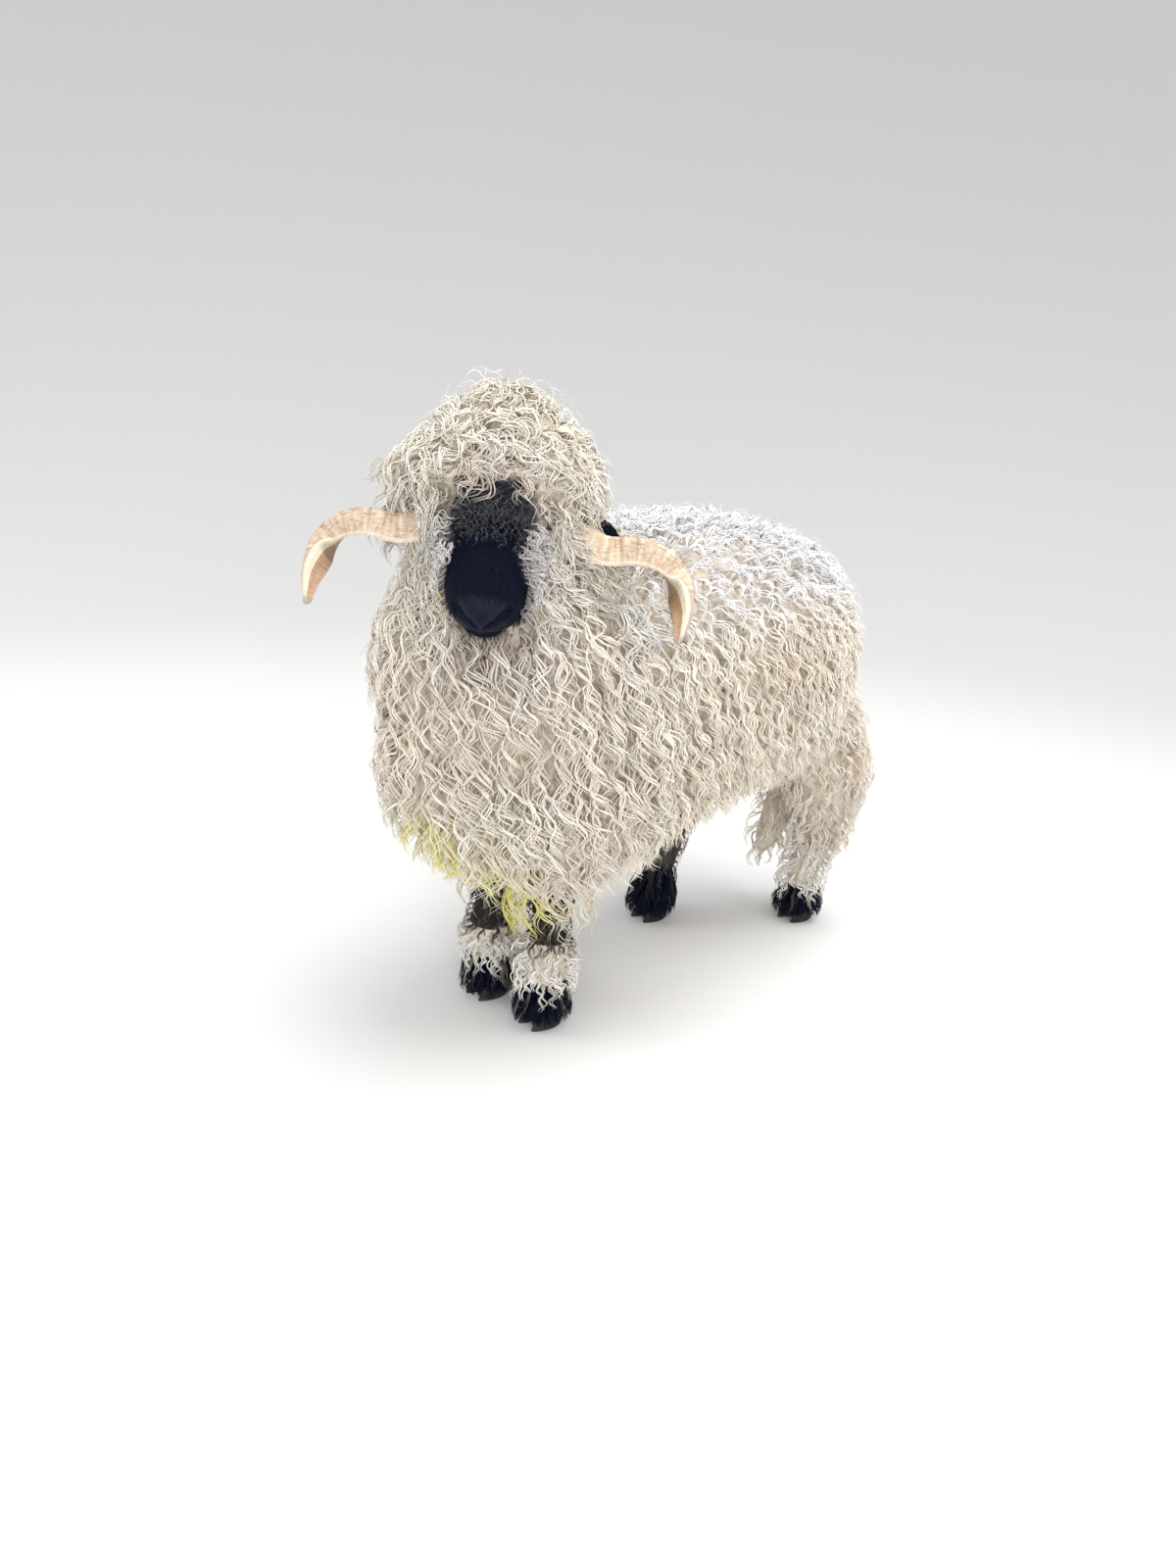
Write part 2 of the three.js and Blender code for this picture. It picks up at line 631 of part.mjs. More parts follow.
// Trunk locks hang down the flanks and a little back. On the back they are shorter, rounder
// curls that turn back and outward, and along the belly they are short.
function trunkLock(root, t, turn) {
  if (pastSeam(root, WITHERS, neckSide) > SEAM_OVERLAP) return null;
  if (root.x < THIGH_FRONT && root.z < THIGH_TOP + SEAM_OVERLAP) return null;
  const sine = Math.sin(turn);
  const down = -Math.sign(Math.cos(turn));
  const size = 1 + 0.12 * jitter();
  if (sine > BACK_FROM) {
    const lie = { t: -0.1, turn: down * 0.2 };
    return { lie, wide: 140 * size, thick: 62, wave: 4, waves: 1, sides: 5, steps: 3 };
  }
  if (sine < BELLY_FROM) {
    const lie = { t: -0.14, turn: 0 };
    return { lie, wide: 112 * size, thick: 40, wave: 4, waves: 1, sides: 4, steps: 3, hang: 8 };
  }
  const low = sine < HEM_FROM;
  const lie = { t: -0.04, turn: down * (low ? 0.22 : 0.78) * size };
  return {
    lie, wide: 142 * size, thick: 54, wave: 8, waves: 1.2, sides: 5, steps: 3, hang: low ? 52 : 0,
  };
}

// Long wavy locks of the neck and chest.
function ruffLock(root, t, turn) {
  if (pastSeam(root, WITHERS, neckSide) < -RUFF_OVERLAP) return null;
  if (pastSeam(root, nape, napeSide) > SEAM_OVERLAP) return null;
  const size = 1 + 0.15 * jitter();
  const lie = { t: -0.34 * size, turn: 0.05 * jitter() };
  return { lie, wide: 100 * size, thick: 54, wave: 11, waves: 1.4, sides: 4, steps: 4, hang: 12 };
}

// Loose curls that fall from the crown, over the brow and beside the face.
function headLock(root, t, turn) {
  const rise = root.clone().sub(HEAD_CENTRE).dot(headUp);
  const front = Math.abs(Math.atan2(Math.cos(turn), Math.sin(turn)));
  if (rise < BROW_HEIGHT && front < BROW_HALF_ANGLE) return null;
  if (pastSeam(root, nape, napeSide) < SEAM_OVERLAP) return null;
  const size = 1 + 0.15 * jitter();
  const lie = { t: 0.2 * size, turn: 0.18 * jitter() };
  return { lie, wide: 92 * size, thick: 50, wave: 6, waves: 1, sides: 4, steps: 3 };
}

function thighLock(root) {
  if (root.z > THIGH_TOP - SEAM_OVERLAP || root.z < FOOT_TOP + BAND_HEIGHT) return null;
  const size = root.z < HOCK_TOP ? 0.62 : 1;
  const lie = { t: root.z < HOCK_TOP ? -0.15 : -0.22, turn: 0.05 * jitter() };
  return { lie, wide: 140 * size, thick: 46 * size, wave: 6, waves: 1, sides: 4, steps: 3 };
}

// The tail's locks hang at its sides and back, and none press against the rump.
function tailLock(root, t, turn) {
  if (Math.sin(turn) > 0) return null;
  return { lie: { t: 0.24, turn: 0 }, wide: 78, thick: 34, wave: 4, waves: 1, sides: 4, steps: 3 };
}

// Straight hair over the tops of the claws, and the fluffy white bands above the front feet.
const footLock = () => (
  { lie: { t: 0.36, turn: 0 }, wide: 66, thick: 18, wave: 2, waves: 1, sides: 3, steps: 2 });
const bandLock = () => (
  { lie: { t: -0.2, turn: 0 }, wide: 60, thick: 24, wave: 3, waves: 1, sides: 3, steps: 2 });

const THIGH_ROWS = { coat: THIGH_COAT, rows: 3, spacing: 150, from: 0.14, to: 0.6 };
const fleece = joined([
  trunk.body(14, 10, -TRUNK_COAT),
  ruff.body(12, 7, -RUFF_COAT),
  woolHead.body(12, 9, -HEAD_COAT),
  hindForms.hind_left.body(9, 8, -THIGH_COAT),
  hindForms.hind_right.body(9, 8, -THIGH_COAT),
  ...locksOver(trunk, trunkLock, { coat: TRUNK_COAT, rows: 8, spacing: 143, from: 0.02, to: 0.97 }),
  ...locksOver(ruff, ruffLock, { coat: RUFF_COAT, rows: 5, spacing: 114, from: 0.2, to: 0.95 }),
  ...locksOver(woolHead, headLock, {
    coat: HEAD_COAT, rows: 6, spacing: 108, from: 0.03, to: 0.8, fewest: 5,
  }),
  ...locksOver(hindForms.hind_left, thighLock, THIGH_ROWS),
  ...locksOver(hindForms.hind_right, thighLock, THIGH_ROWS),
]);

const solids = {};
const tail = joined([
  tailForm.body(8, 8, -TAIL_COAT),
  ...locksOver(tailForm, tailLock, { coat: TAIL_COAT, rows: 4, spacing: 100, from: 0.04, to: 0.84 }),
]);
// The rump makes room for the tail and for the tips of its locks.
const tailRoom = joined([
  tailForm.body(8, 12, TAIL_ROOM),
  tail.translate([TAIL_MARGIN, TAIL_MARGIN, 0]),
  tail.translate([TAIL_MARGIN, -TAIL_MARGIN, 0]),
  tail.translate([0, 0, TAIL_MARGIN]),
  tail.translate([0, 0, -TAIL_MARGIN]),
]);
const SIDES = { left: 1, right: -1 };

// Head, neck and trunk.
const faceRoom = makeFace(GAP);
let head = fleece.intersect(pastPlane(nape, napeSide, GAP / 2)).subtract(faceRoom);
let neck = fleece.subtract(pastPlane(nape, napeSide, -GAP / 2))
  .intersect(pastPlane(WITHERS, neckSide, GAP / 2)).subtract(faceRoom);
let torso = fleece.subtract(pastPlane(WITHERS, neckSide, -GAP / 2)).subtract(tailRoom);

for (const [side, sign] of Object.entries(SIDES)) {
  const hornRoom = makeHorn(sign, GAP);
  const earRoom = makeEar(sign, EAR_GAP);
  head = head.subtract(hornRoom).subtract(earRoom).subtract(eyeHollow(sign));
  neck = neck.subtract(hornRoom).subtract(earRoom).subtract(eyeHollow(sign));
  solids[`horn_${side}`] = makeHorn(sign);
  solids[`ear_${side}`] = makeEar(sign).subtract(hornRoom);
  solids[`eye_${side}`] = eyeBall(sign);
}

let face = makeFace().subtract(muzzleCuts());
for (const sign of [1, -1]) {
  face = face.subtract(eyeBall(sign, GAP)).subtract(lidOpening(sign));
  face = face.subtract(makeHorn(sign, GAP)).subtract(makeEar(sign, EAR_GAP));
}

for (const [name, place] of Object.entries(FOOT_PLACES)) {
  const claws = [1, -1].map((sign) => makeClaw(place, sign));
  const clawRooms = [1, -1].map((sign) => makeClaw(place, sign, GAP));
  solids[`${name}_claw_left`] = claws[0];
  solids[`${name}_claw_right`] = claws[1];
  const foot = footForm(place);
  const tufts = locksOver(foot, footLock, {
    coat: FOOT_COAT, rows: 1, spacing: 64, from: 0.3, to: 0.5,
  });
  solids[`${name}_foot`] = joined([foot.body(8, 5, -FOOT_COAT / 2), ...tufts])
    .intersect(box([-BIG, -BIG, FOOT_BOTTOM], [BIG, BIG, FOOT_TOP - GAP / 2]))
    .subtract(joined(clawRooms));
}

for (const [name, leg] of Object.entries(frontForms)) {
  const room = leg.body(8, 8, GAP);
  torso = torso.subtract(room);
  neck = neck.subtract(room);
  const band = locksOver(leg, bandLock, {
    coat: SHANK_COAT, rows: 1, spacing: 50, from: 0.24, to: 0.36,
  });
  solids[`${name}_leg`] = joined([leg.body(8, 8, -SHANK_COAT), ...band])
    .subtract(box([-BIG, -BIG, -BIG], [BIG, BIG, FOOT_TOP + GAP / 2]));
}

torso = torso.subtract(thighRegion(1, GAP)).subtract(thighRegion(-1, GAP));
for (const [name, sign] of [['hind_left', 1], ['hind_right', -1]]) {
  solids[`${name}_leg`] = fleece.intersect(thighRegion(sign, 0)).subtract(tailRoom);
}

solids.head = head;
solids.neck = neck;
solids.torso = torso;
solids.face = face;
solids.tail = tail;

// Colours and finish of each kind of surface.
const finishes = {
  wool: { color: 0xd9cfbf, roughness: 0.95, metalness: 0 },
  black_hair: { color: 0x16161a, roughness: 0.6, metalness: 0 },
  horn: { color: 0xcdae85, roughness: 0.55, metalness: 0 },
  hoof: { color: 0x1d1a18, roughness: 0.5, metalness: 0 },
  eye: { color: 0x2a1a0c, roughness: 0.15, metalness: 0 },
};

function finishOf(name) {
  if (name.startsWith('horn_')) return finishes.horn;
  if (name.startsWith('eye_')) return finishes.eye;
  if (name.includes('_claw_')) return finishes.hoof;
  if (name === 'face' || name.startsWith('ear_') || name.endsWith('_foot')) return finishes.black_hair;
  return finishes.wool;
}

const sheep = new THREE.Group();
for (const [name, solid] of Object.entries(solids)) {
  const { vertProperties, triVerts } = largest(solid).getMesh();
  const geometry = new THREE.BufferGeometry();
  geometry.setAttribute('position', new THREE.BufferAttribute(vertProperties, 3));
  geometry.setIndex(new THREE.BufferAttribute(triVerts, 1));
  const mesh = new THREE.Mesh(geometry, new THREE.MeshStandardMaterial(finishOf(name)));
  mesh.name = name;
  sheep.add(mesh);
}

// The origin is on the floor, under the middle of the whole animal.
const bounds = new THREE.Box3().setFromObject(sheep);
const centre = bounds.getCenter(new THREE.Vector3());
sheep.position.set(-centre.x, -centre.y, -bounds.min.z);
sheep.updateMatrixWorld(true);

export default sheep;
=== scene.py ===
# %% [markdown]
# # A Valais Blacknose ram in full fleece
# The solid model gives the ram's size, stance and outline. This script dresses it the way a
# museum model maker would: one skin over the whole body, then the fleece laid on it lock by
# lock, and last the horns, eyes and hooves. The solid model is loaded first and never changed,
# so every piece below can take its place from it.

# %% Load the solid model
import math

import bmesh
import bpy
import numpy as np
from mathutils import Matrix, Vector, noise
from mathutils.bvhtree import BVHTree


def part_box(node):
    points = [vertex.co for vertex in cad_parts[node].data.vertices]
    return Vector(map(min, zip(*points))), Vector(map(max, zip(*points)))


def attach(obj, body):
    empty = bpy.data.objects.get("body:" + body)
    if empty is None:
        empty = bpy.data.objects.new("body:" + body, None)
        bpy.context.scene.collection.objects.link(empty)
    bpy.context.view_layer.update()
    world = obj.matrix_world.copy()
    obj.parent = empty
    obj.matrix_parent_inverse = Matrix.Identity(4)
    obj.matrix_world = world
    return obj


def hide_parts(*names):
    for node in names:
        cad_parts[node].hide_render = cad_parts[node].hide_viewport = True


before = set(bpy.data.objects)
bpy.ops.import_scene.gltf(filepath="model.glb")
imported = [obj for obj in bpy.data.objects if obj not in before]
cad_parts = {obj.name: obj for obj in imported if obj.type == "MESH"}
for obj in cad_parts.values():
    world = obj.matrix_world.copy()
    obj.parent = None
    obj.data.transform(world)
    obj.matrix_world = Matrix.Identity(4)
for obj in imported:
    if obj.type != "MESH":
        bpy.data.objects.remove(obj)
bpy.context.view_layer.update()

print("solid parts:", len(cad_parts))

# %% [markdown]
# ## Where things are
# A maker measures an animal in millimetres from a few landmarks. Here they are the middle of
# the head and the end of the nose, and three directions that turn with the head. Writing a
# place as "so far forward, left and up from the head's middle" is easier to check against a
# photograph than raw coordinates, because it stays true however the head is turned.

# %% Landmarks and directions
MM = 0.001
FORWARD = Vector((1, 0, 0))
LEFT = Vector((0, 1, 0))
UP = Vector((0, 0, 1))
HEAD_CENTRE = Vector((466, 51, 905))
HEAD_YAW = math.radians(45)
HEAD_TILT = math.radians(2)
FACE_PITCH = math.radians(53)
EYE_PLACE = (73, 55, -45)

head_forward = Vector((math.cos(HEAD_YAW), math.sin(HEAD_YAW), 0))
level_left = UP.cross(head_forward)
head_left = level_left * math.cos(HEAD_TILT) - UP * math.sin(HEAD_TILT)
head_up = head_forward.cross(head_left)
face_down = head_forward * math.cos(FACE_PITCH) - head_up * math.sin(FACE_PITCH)
face_out = head_forward * math.sin(FACE_PITCH) + head_up * math.cos(FACE_PITCH)


def middle_of(node):
    low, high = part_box(node)
    return (low + high) / 2


eyes_middle = (middle_of("eye_left") + middle_of("eye_right")) / 2
eyes_measured = HEAD_CENTRE + head_forward * EYE_PLACE[0] + head_up * EYE_PLACE[2]
ORIGIN = eyes_middle - eyes_measured * MM


def place(x, y, z):
    """A point measured forward, left and up in millimetres, in the solid model's own frame."""
    return ORIGIN + Vector((x, y, z)) * MM


def on_head(forward, left, up):
    return ORIGIN + (HEAD_CENTRE + head_forward * forward + head_left * left + head_up * up) * MM


NOSE_END = on_head(172, 0, -116)


def on_face(back, left, out):
    """A point back along the nose bridge, to the left, and out from the bridge."""
    return NOSE_END + (face_out * out + head_left * left - face_down * back) * MM


def in_axes(points, origin, axes):
    """Coordinates of many points along three directions from an origin, in millimetres."""
    return (points - np.array(origin)) @ np.array(axes).T / MM


def mirrored(spot, sign):
    """A spot beside the middle plane, on the left for a sign of 1 and on the right for -1."""
    return spot[0], sign * spot[1], spot[2]


def face_coordinates(points):
    return in_axes(points, NOSE_END, [-face_down, head_left, face_out])


def head_coordinates(points):
    return in_axes(points, on_head(0, 0, 0), [head_forward, head_left, head_up])


print("head middle:", [round(v, 3) for v in on_head(0, 0, 0)])

# %% [markdown]
# ## The camera, the floor and the light
# The photograph was taken by someone standing a little ahead of the ram's left shoulder and
# looking down at it, with a wide lens. Setting that view up first means each later piece can be
# judged in it. The floor is plain and pale, and large soft lights take the place of an overcast
# sky, which shows wool without harsh shadows.

# %% Camera
CAMERA_PLACE = (1550, 1310, 1100)
CAMERA_HEADING = math.radians(-136)
CAMERA_PITCH = math.radians(-20.3)
CAMERA_ROLL = math.radians(4.5)
LENS_MM = 27
SENSOR_MM = 36

camera = bpy.data.objects.new("camera", bpy.data.cameras.new("camera"))
bpy.context.scene.collection.objects.link(camera)
camera.data.lens = LENS_MM
camera.data.sensor_width = SENSOR_MM
camera.data.clip_start = 0.05
look = Vector((
    math.cos(CAMERA_PITCH) * math.cos(CAMERA_HEADING),
    math.cos(CAMERA_PITCH) * math.sin(CAMERA_HEADING),
    math.sin(CAMERA_PITCH),
))
turned = Matrix.Rotation(CAMERA_ROLL, 4, -look) @ look.to_track_quat("-Z", "Y").to_matrix().to_4x4()
camera.matrix_world = Matrix.Translation(place(*CAMERA_PLACE)) @ turned
bpy.context.scene.camera = camera
print("camera:", [round(v, 3) for v in camera.location])

# %% Floor and lights
FLOOR_SIZE, FLOOR_CELL = 16, 0.25
FLAT_RADIUS, FLOOR_RISE = 3.0, 0.16


def link(mesh_or_light, name):
    made = bpy.data.objects.new(name, mesh_or_light)
    bpy.context.scene.collection.objects.link(made)
    return made


def tone(red, green, blue):
    """A colour given as on a paint card, 0 to 255, as the light values that shaders use."""
    return tuple((v / 255) ** 2.2 for v in (red, green, blue))


floor_mesh = bmesh.new()
cells = int(FLOOR_SIZE / FLOOR_CELL)
bmesh.ops.create_grid(floor_mesh, x_segments=cells, y_segments=cells, size=FLOOR_SIZE / 2)
for v in floor_mesh.verts:
    v.co.z = FLOOR_RISE * max(0, v.co.xy.length - FLAT_RADIUS) ** 2
floor_data = bpy.data.meshes.new("studio_floor")
floor_mesh.to_mesh(floor_data)
floor_mesh.free()
floor_data.shade_smooth()
floor = link(floor_data, "studio_floor")


def soft_light(name, at, aim, size, power, colour):
    lamp = bpy.data.lights.new(name, "AREA")
    lamp.shape = "DISK"
    lamp.size = size
    lamp.energy = power
    lamp.color = colour
    made = link(lamp, name)
    made.matrix_world = Matrix.Translation(at) @ (
        (Vector(aim) - Vector(at)).to_track_quat("-Z", "Y").to_matrix().to_4x4())


RAM_MIDDLE = (0, 0, 0.5)
WARM, COLD = (1.0, 0.99, 0.975), (0.97, 0.985, 1.0)
soft_light("sky_light", (-0.4, 0.6, 3.2), RAM_MIDDLE, 3.0, 100, WARM)
soft_light("front_light", (2.6, 2.9, 1.7), RAM_MIDDLE, 2.4, 85, WARM)
soft_light("side_light", (2.6, -2.4, 1.6), RAM_MIDDLE, 2.2, 40, COLD)
world = bpy.data.worlds.new("studio")
world.use_nodes = True
background = world.node_tree.nodes["Background"].inputs
background["Color"].default_value = (0.86, 0.86, 0.86, 1)
background["Strength"].default_value = 0.8
bpy.context.scene.world = world
bpy.context.scene.view_settings.view_transform = "Standard"

# %% [markdown]
# ## Lofting a body
# Trunk, neck, legs and tail are all rounded forms strung along a line. A maker would cut
# cross-sections and stretch a skin over them. In Blender that is one circle, extruded from
# station to station and reshaped at each by a matrix that says how wide and how deep the
# section is. The skin lies deeper than the outline by the depth of the wool.

# %% Loft helper
SLIMMEST = 0.62
SECTION_SIDES = 32
RINGS_BETWEEN = 4


def through(values, share):
    """A smooth curve through a list of equally spaced values, by Catmull and Rom's formula."""
    at = share * (len(values) - 1)
    index = min(int(at), len(values) - 2)
    t = at - index
    p1, p2 = values[index], values[index + 1]
    p0 = values[index - 1] if index else p1 * 2 - p2
    p3 = values[index + 2] if index + 2 < len(values) else p2 * 2 - p1
    return 0.5 * (p1 * 2 + (p2 - p0) * t + (p0 * 2 - p1 * 5 + p2 * 4 - p3) * t ** 2
                  + (p1 * 3 - p0 - p2 * 3 + p3) * t ** 3)


def section_matrix(centre, side, up, across, rise):
    matrix = Matrix((side * across, up * rise, side.cross(up))).transposed().to_4x4()
    matrix.translation = centre
    return matrix


def swept(bm, sides, shaped, places):
    """One circle, shaped and then extruded from place to place. Gives each ring in turn."""
    ring = bmesh.ops.create_circle(bm, cap_ends=True, radius=1, segments=sides)["verts"]
    cap = ring[0].link_faces[0]
    for v in ring:
        shaped(v)
    last = Matrix.Identity(4)
    for number, here in enumerate(places):
        if number:
            grown = bmesh.ops.extrude_face_region(bm, geom=[cap])["geom"]
            ring = [v for v in grown if isinstance(v, bmesh.types.BMVert)]
            cap = next(f for f in grown if isinstance(f, bmesh.types.BMFace))
        bmesh.ops.transform(bm, matrix=here @ last.inverted(), verts=ring)
        last = here
        yield ring


def shrunk(reach, wool):
    return max(reach - wool, SLIMMEST * reach)


def loft(bm, stations, side, up, wool=0, fullness=(2, 2)):
    """A closed body along stations of (centre, half width, reach above, reach below)."""
    heart = (stations[0][0] + stations[-1][0]) / 2
    half_length = (stations[-1][0] - stations[0][0]).length / MM / 2
    centres = [heart + (centre - heart) * (1 - wool / half_length) for centre, *size in stations]
    sizes = [Vector([shrunk(reach, wool) for reach in size]) for centre, *size in stations]

    def fuller(v):
        power = fullness[0] if v.co.y > 0 else fullness[1]
        v.co *= (abs(v.co.x) ** power + abs(v.co.y) ** power) ** (-1 / power)

    def section(share):
        wide, above, below = (max(0.5, reach) for reach in through(sizes, share))
        middle = through(centres, share) + up * ((above - below) / 2 * MM)
        return section_matrix(middle, side, up, wide * MM, (above + below) / 2 * MM)

    steps = (len(stations) - 1) * RINGS_BETWEEN
    list(swept(bm, SECTION_SIDES, fuller, [section(number / steps) for number in range(steps + 1)]))


def finished(bm, name):
    """Normals outwards, then a Blender object with its place in its mesh."""
    bmesh.ops.recalc_face_normals(bm, faces=bm.faces)
    data = bpy.data.meshes.new(name)
    bm.to_mesh(data)
    bm.free()
    return link(data, name)


def smooth_sides(made):
    """Soft shading on the sides only, so that the end caps keep their edge."""
    for polygon in made.data.polygons:
        polygon.use_smooth = len(polygon.vertices) == 4


def applied(made, *modifiers):
    """Puts modifiers on an object, given as (type, settings), and makes their result its mesh."""
    for kind, settings in modifiers:
        modifier = made.modifiers.new(kind.lower(), kind)
        for key, value in settings.items():
            setattr(modifier, key, value)
    graph = bpy.context.evaluated_depsgraph_get()
    baked = bpy.data.meshes.new_from_object(made.evaluated_get(graph))
    made.modifiers.clear()
    made.data = baked


# %% [markdown]
# ## The body under the wool
# A ram's body is a deep barrel on slim legs, with a neck that rises steeply to the head. All the
# forms are lofted into one mesh, where they overlap freely. A voxel remesh then melts them into
# a single closed skin, much as wet clay is smoothed where a leg meets the belly.

# %% Stations of the body, in millimetres
MIDDLE = -10
TRUNK_WOOL, RUFF_WOOL, HEAD_WOOL, THIGH_WOOL, TAIL_WOOL = 40, 50, 38, 30, 24
SHANK_WOOL, FOOT_WOOL = 15, 8
FEET = {
    "front_left": (306, 42),
    "front_right": (314, -90),
    "hind_left": (-405, 66),
    "hind_right": (-150, -122),
}
TRUNK = [
    (-468, 560, 1, 1, 1), (-448, 560, 92, 112, 130), (-396, 568, 152, 186, 190),
    (-300, 582, 208, 233, 222), (-150, 604, 248, 252, 240), (0, 606, 260, 259, 246),
    (150, 596, 262, 268, 262), (300, 572, 248, 290, 292), (420, 552, 208, 286, 268),
    (515, 545, 148, 232, 226), (576, 530, 80, 130, 130), (600, 520, 1, 1, 1),
]
RUFF = [
    (350, 0, 430, 1, 1, 1), (365, 0, 475, 165, 185, 110), (385, 4, 565, 212, 215, 200),
    (395, 10, 660, 214, 214, 202), (405, 18, 750, 190, 200, 195), (425, 30, 830, 158, 165, 172),
    (445, 42, 890, 128, 125, 140), (455, 46, 930, 1, 1, 1),
]
TOPKNOT = [
    (172, -30, 1, 1, 1), (156, -28, 58, 54, 56), (112, -20, 108, 100, 106),
    (62, -10, 138, 128, 134), (25, 0, 154, 128, 146), (-10, 0, 156, 98, 148),
    (-50, 0, 148, 66, 144), (-95, 0, 132, 74, 134), (-135, 0, 112, 78, 122),
    (-170, -4, 88, 62, 100), (-195, -10, 1, 1, 1),
]
FRONT_LEG = [
    (30, 0, 0, 30, 32, 30), (60, 0, 0, 44, 46, 44), (90, 0, 0, 56, 56, 52),
    (140, 0, 1, 54, 54, 50), (172, 0, 3, 44, 46, 42), (220, 2, 6, 45, 48, 42),
    (280, 4, 10, 50, 52, 50), (350, 6, 16, 58, 60, 62), (415, 4, 22, 62, 64, 68),
    (440, 4, 24, 1, 1, 1),
]
HIND_LEFT_LEG = [
    (30, 0, 0, 28, 30, 28), (60, 0, 0, 40, 42, 40), (90, -6, 3, 54, 54, 50),
    (150, -22, 12, 58, 58, 54), (210, -26, 22, 66, 68, 62), (270, -4, 34, 78, 86, 74),
    (330, 30, 46, 96, 106, 92), (400, 62, 44, 112, 122, 100), (480, 100, 28, 104, 140, 116),
    (560, 130, 18, 84, 110, 96), (600, 140, 15, 1, 1, 1),
]
HIND_RIGHT_LEG = [
    (30, 0, 0, 28, 30, 28), (60, 0, 0, 40, 42, 40), (90, -10, 0, 44, 46, 44),
    (150, -36, -2, 48, 50, 46), (210, -62, -3, 58, 58, 58), (270, -80, -2, 72, 76, 76),
    (330, -98, 4, 88, 96, 96), (400, -115, 14, 104, 116, 120), (480, -124, 24, 108, 130, 140),
    (560, -128, 34, 96, 110, 120), (600, -128, 38, 1, 1, 1),
]
FOOT = [
    (112, -2, 1, 1, 1), (96, -2, 38, 38, 36), (70, -1, 41, 42, 38), (40, 0, 43, 46, 40),
    (20, 0, 43, 48, 38), (14, 0, 1, 1, 1),
]
TAIL = [
    (-400, 0, 758, 1, 1, 1), (-424, 0, 738, 40, 34, 38), (-458, 0, 670, 52, 40, 44),
    (-472, 0, 570, 60, 44, 48), (-468, 0, 440, 64, 46, 50), (-452, -6, 310, 64, 48, 48),
    (-432, -16, 210, 56, 46, 44), (-410, -26, 125, 44, 40, 36), (-398, -30, 78, 1, 1, 1),
]

# %% Loft the body and melt it into one skin
BODY_VOXEL = 0.007
legs = {
    "front_left": (FRONT_LEG, 1),
    "front_right": (FRONT_LEG, -1),
    "hind_left": (HIND_LEFT_LEG, 1),
    "hind_right": (HIND_RIGHT_LEG, 1),
}
bm = bmesh.new()
loft(bm, [(place(x, MIDDLE, z), *size) for x, z, *size in TRUNK], LEFT, UP, TRUNK_WOOL, (2.4, 4.6))
loft(bm, [(place(x, y, z), *size) for x, y, z, *size in RUFF], LEFT, FORWARD, RUFF_WOOL)
loft(bm, [(on_head(front, 2, rise), *size) for rise, front, *size in TOPKNOT],
     head_left, head_forward, HEAD_WOOL)
loft(bm, [(place(x, MIDDLE + y, z), *size) for x, y, z, *size in TAIL], LEFT, FORWARD, TAIL_WOOL)
for name, (leg, outward) in legs.items():
    x, y = FEET[name]
    wool = SHANK_WOOL if name.startswith("front") else THIGH_WOOL
    loft(bm, [(place(x + ahead, y + outward * out, z), *size) for z, ahead, out, *size in leg],
         LEFT, FORWARD, wool)
    loft(bm, [(place(x + ahead, y, z), *size) for z, ahead, *size in FOOT], LEFT, FORWARD, FOOT_WOOL)
body = finished(bm, "body_skin")
applied(body, ("REMESH", {"mode": "VOXEL", "voxel_size": BODY_VOXEL}),
        ("SMOOTH", {"factor": 0.5, "iterations": 5}))
print("body skin:", len(body.data.polygons), "faces")

# %% [markdown]
# ## The face
# A blacknose has a broad, deep muzzle with a slightly rounded bridge, comma-shaped nostrils and a
# short mouth. The skull is lofted down the nose, the lower jaw and the ears are added, and the
# whole is remeshed finely. Nostrils, lips and lids are then pressed in and raised along the
# surface, which is how they are modelled in clay: each is a soft groove or ridge round a line.

# %% Loft the skull, jaw and ears
FACE_VOXEL = 0.0018
SKULL = [
    (-17, -40, 1, 1, 1), (-12, -40, 25, 25, 28), (2, -42, 43, 39, 40), (26, -46, 52, 46, 44),
    (56, -50, 56, 51, 48), (90, -54, 60, 56, 54), (125, -60, 68, 64, 66),
    (160, -64, 71, 66, 72), (196, -68, 62, 60, 62), (228, -72, 1, 1, 1),
]
JAW = [
    (-16, -76, 1, 1, 1), (-10, -77, 20, 12, 16), (8, -78, 30, 18, 20), (40, -80, 36, 20, 24),
    (80, -84, 42, 24, 28), (120, -88, 46, 30, 30), (160, -90, 1, 1, 1),
]
EAR_LENGTH, EAR_WIDTH, EAR_THICKNESS, EAR_CUP = 118, 54, 5, 13
EAR_ROOT, EAR_TIP = (-36, 84, -28), (-84, 176, -70)


def add_ear(bm, sign):
    """A leaf-shaped plate, cupped along its length, that hangs out and back behind the horn."""
    root = on_head(*mirrored(EAR_ROOT, sign))
    tip = on_head(*mirrored(EAR_TIP, sign))
    along = (tip - root).normalized()
    facing = head_forward + head_up * 0.35
    facing = (facing - along * facing.dot(along)).normalized()
    across = along.cross(facing)
    for v in bmesh.ops.create_icosphere(bm, subdivisions=4, radius=1)["verts"]:
        t = (v.co.y + 1) / 2
        edge = v.co.x
        lift = EAR_CUP * (edge * edge - 0.5) * (1 - 0.5 * t)
        v.co = root + (along * t * EAR_LENGTH + across * edge * EAR_WIDTH / 2
                       + facing * (lift + v.co.z * EAR_THICKNESS)) * MM


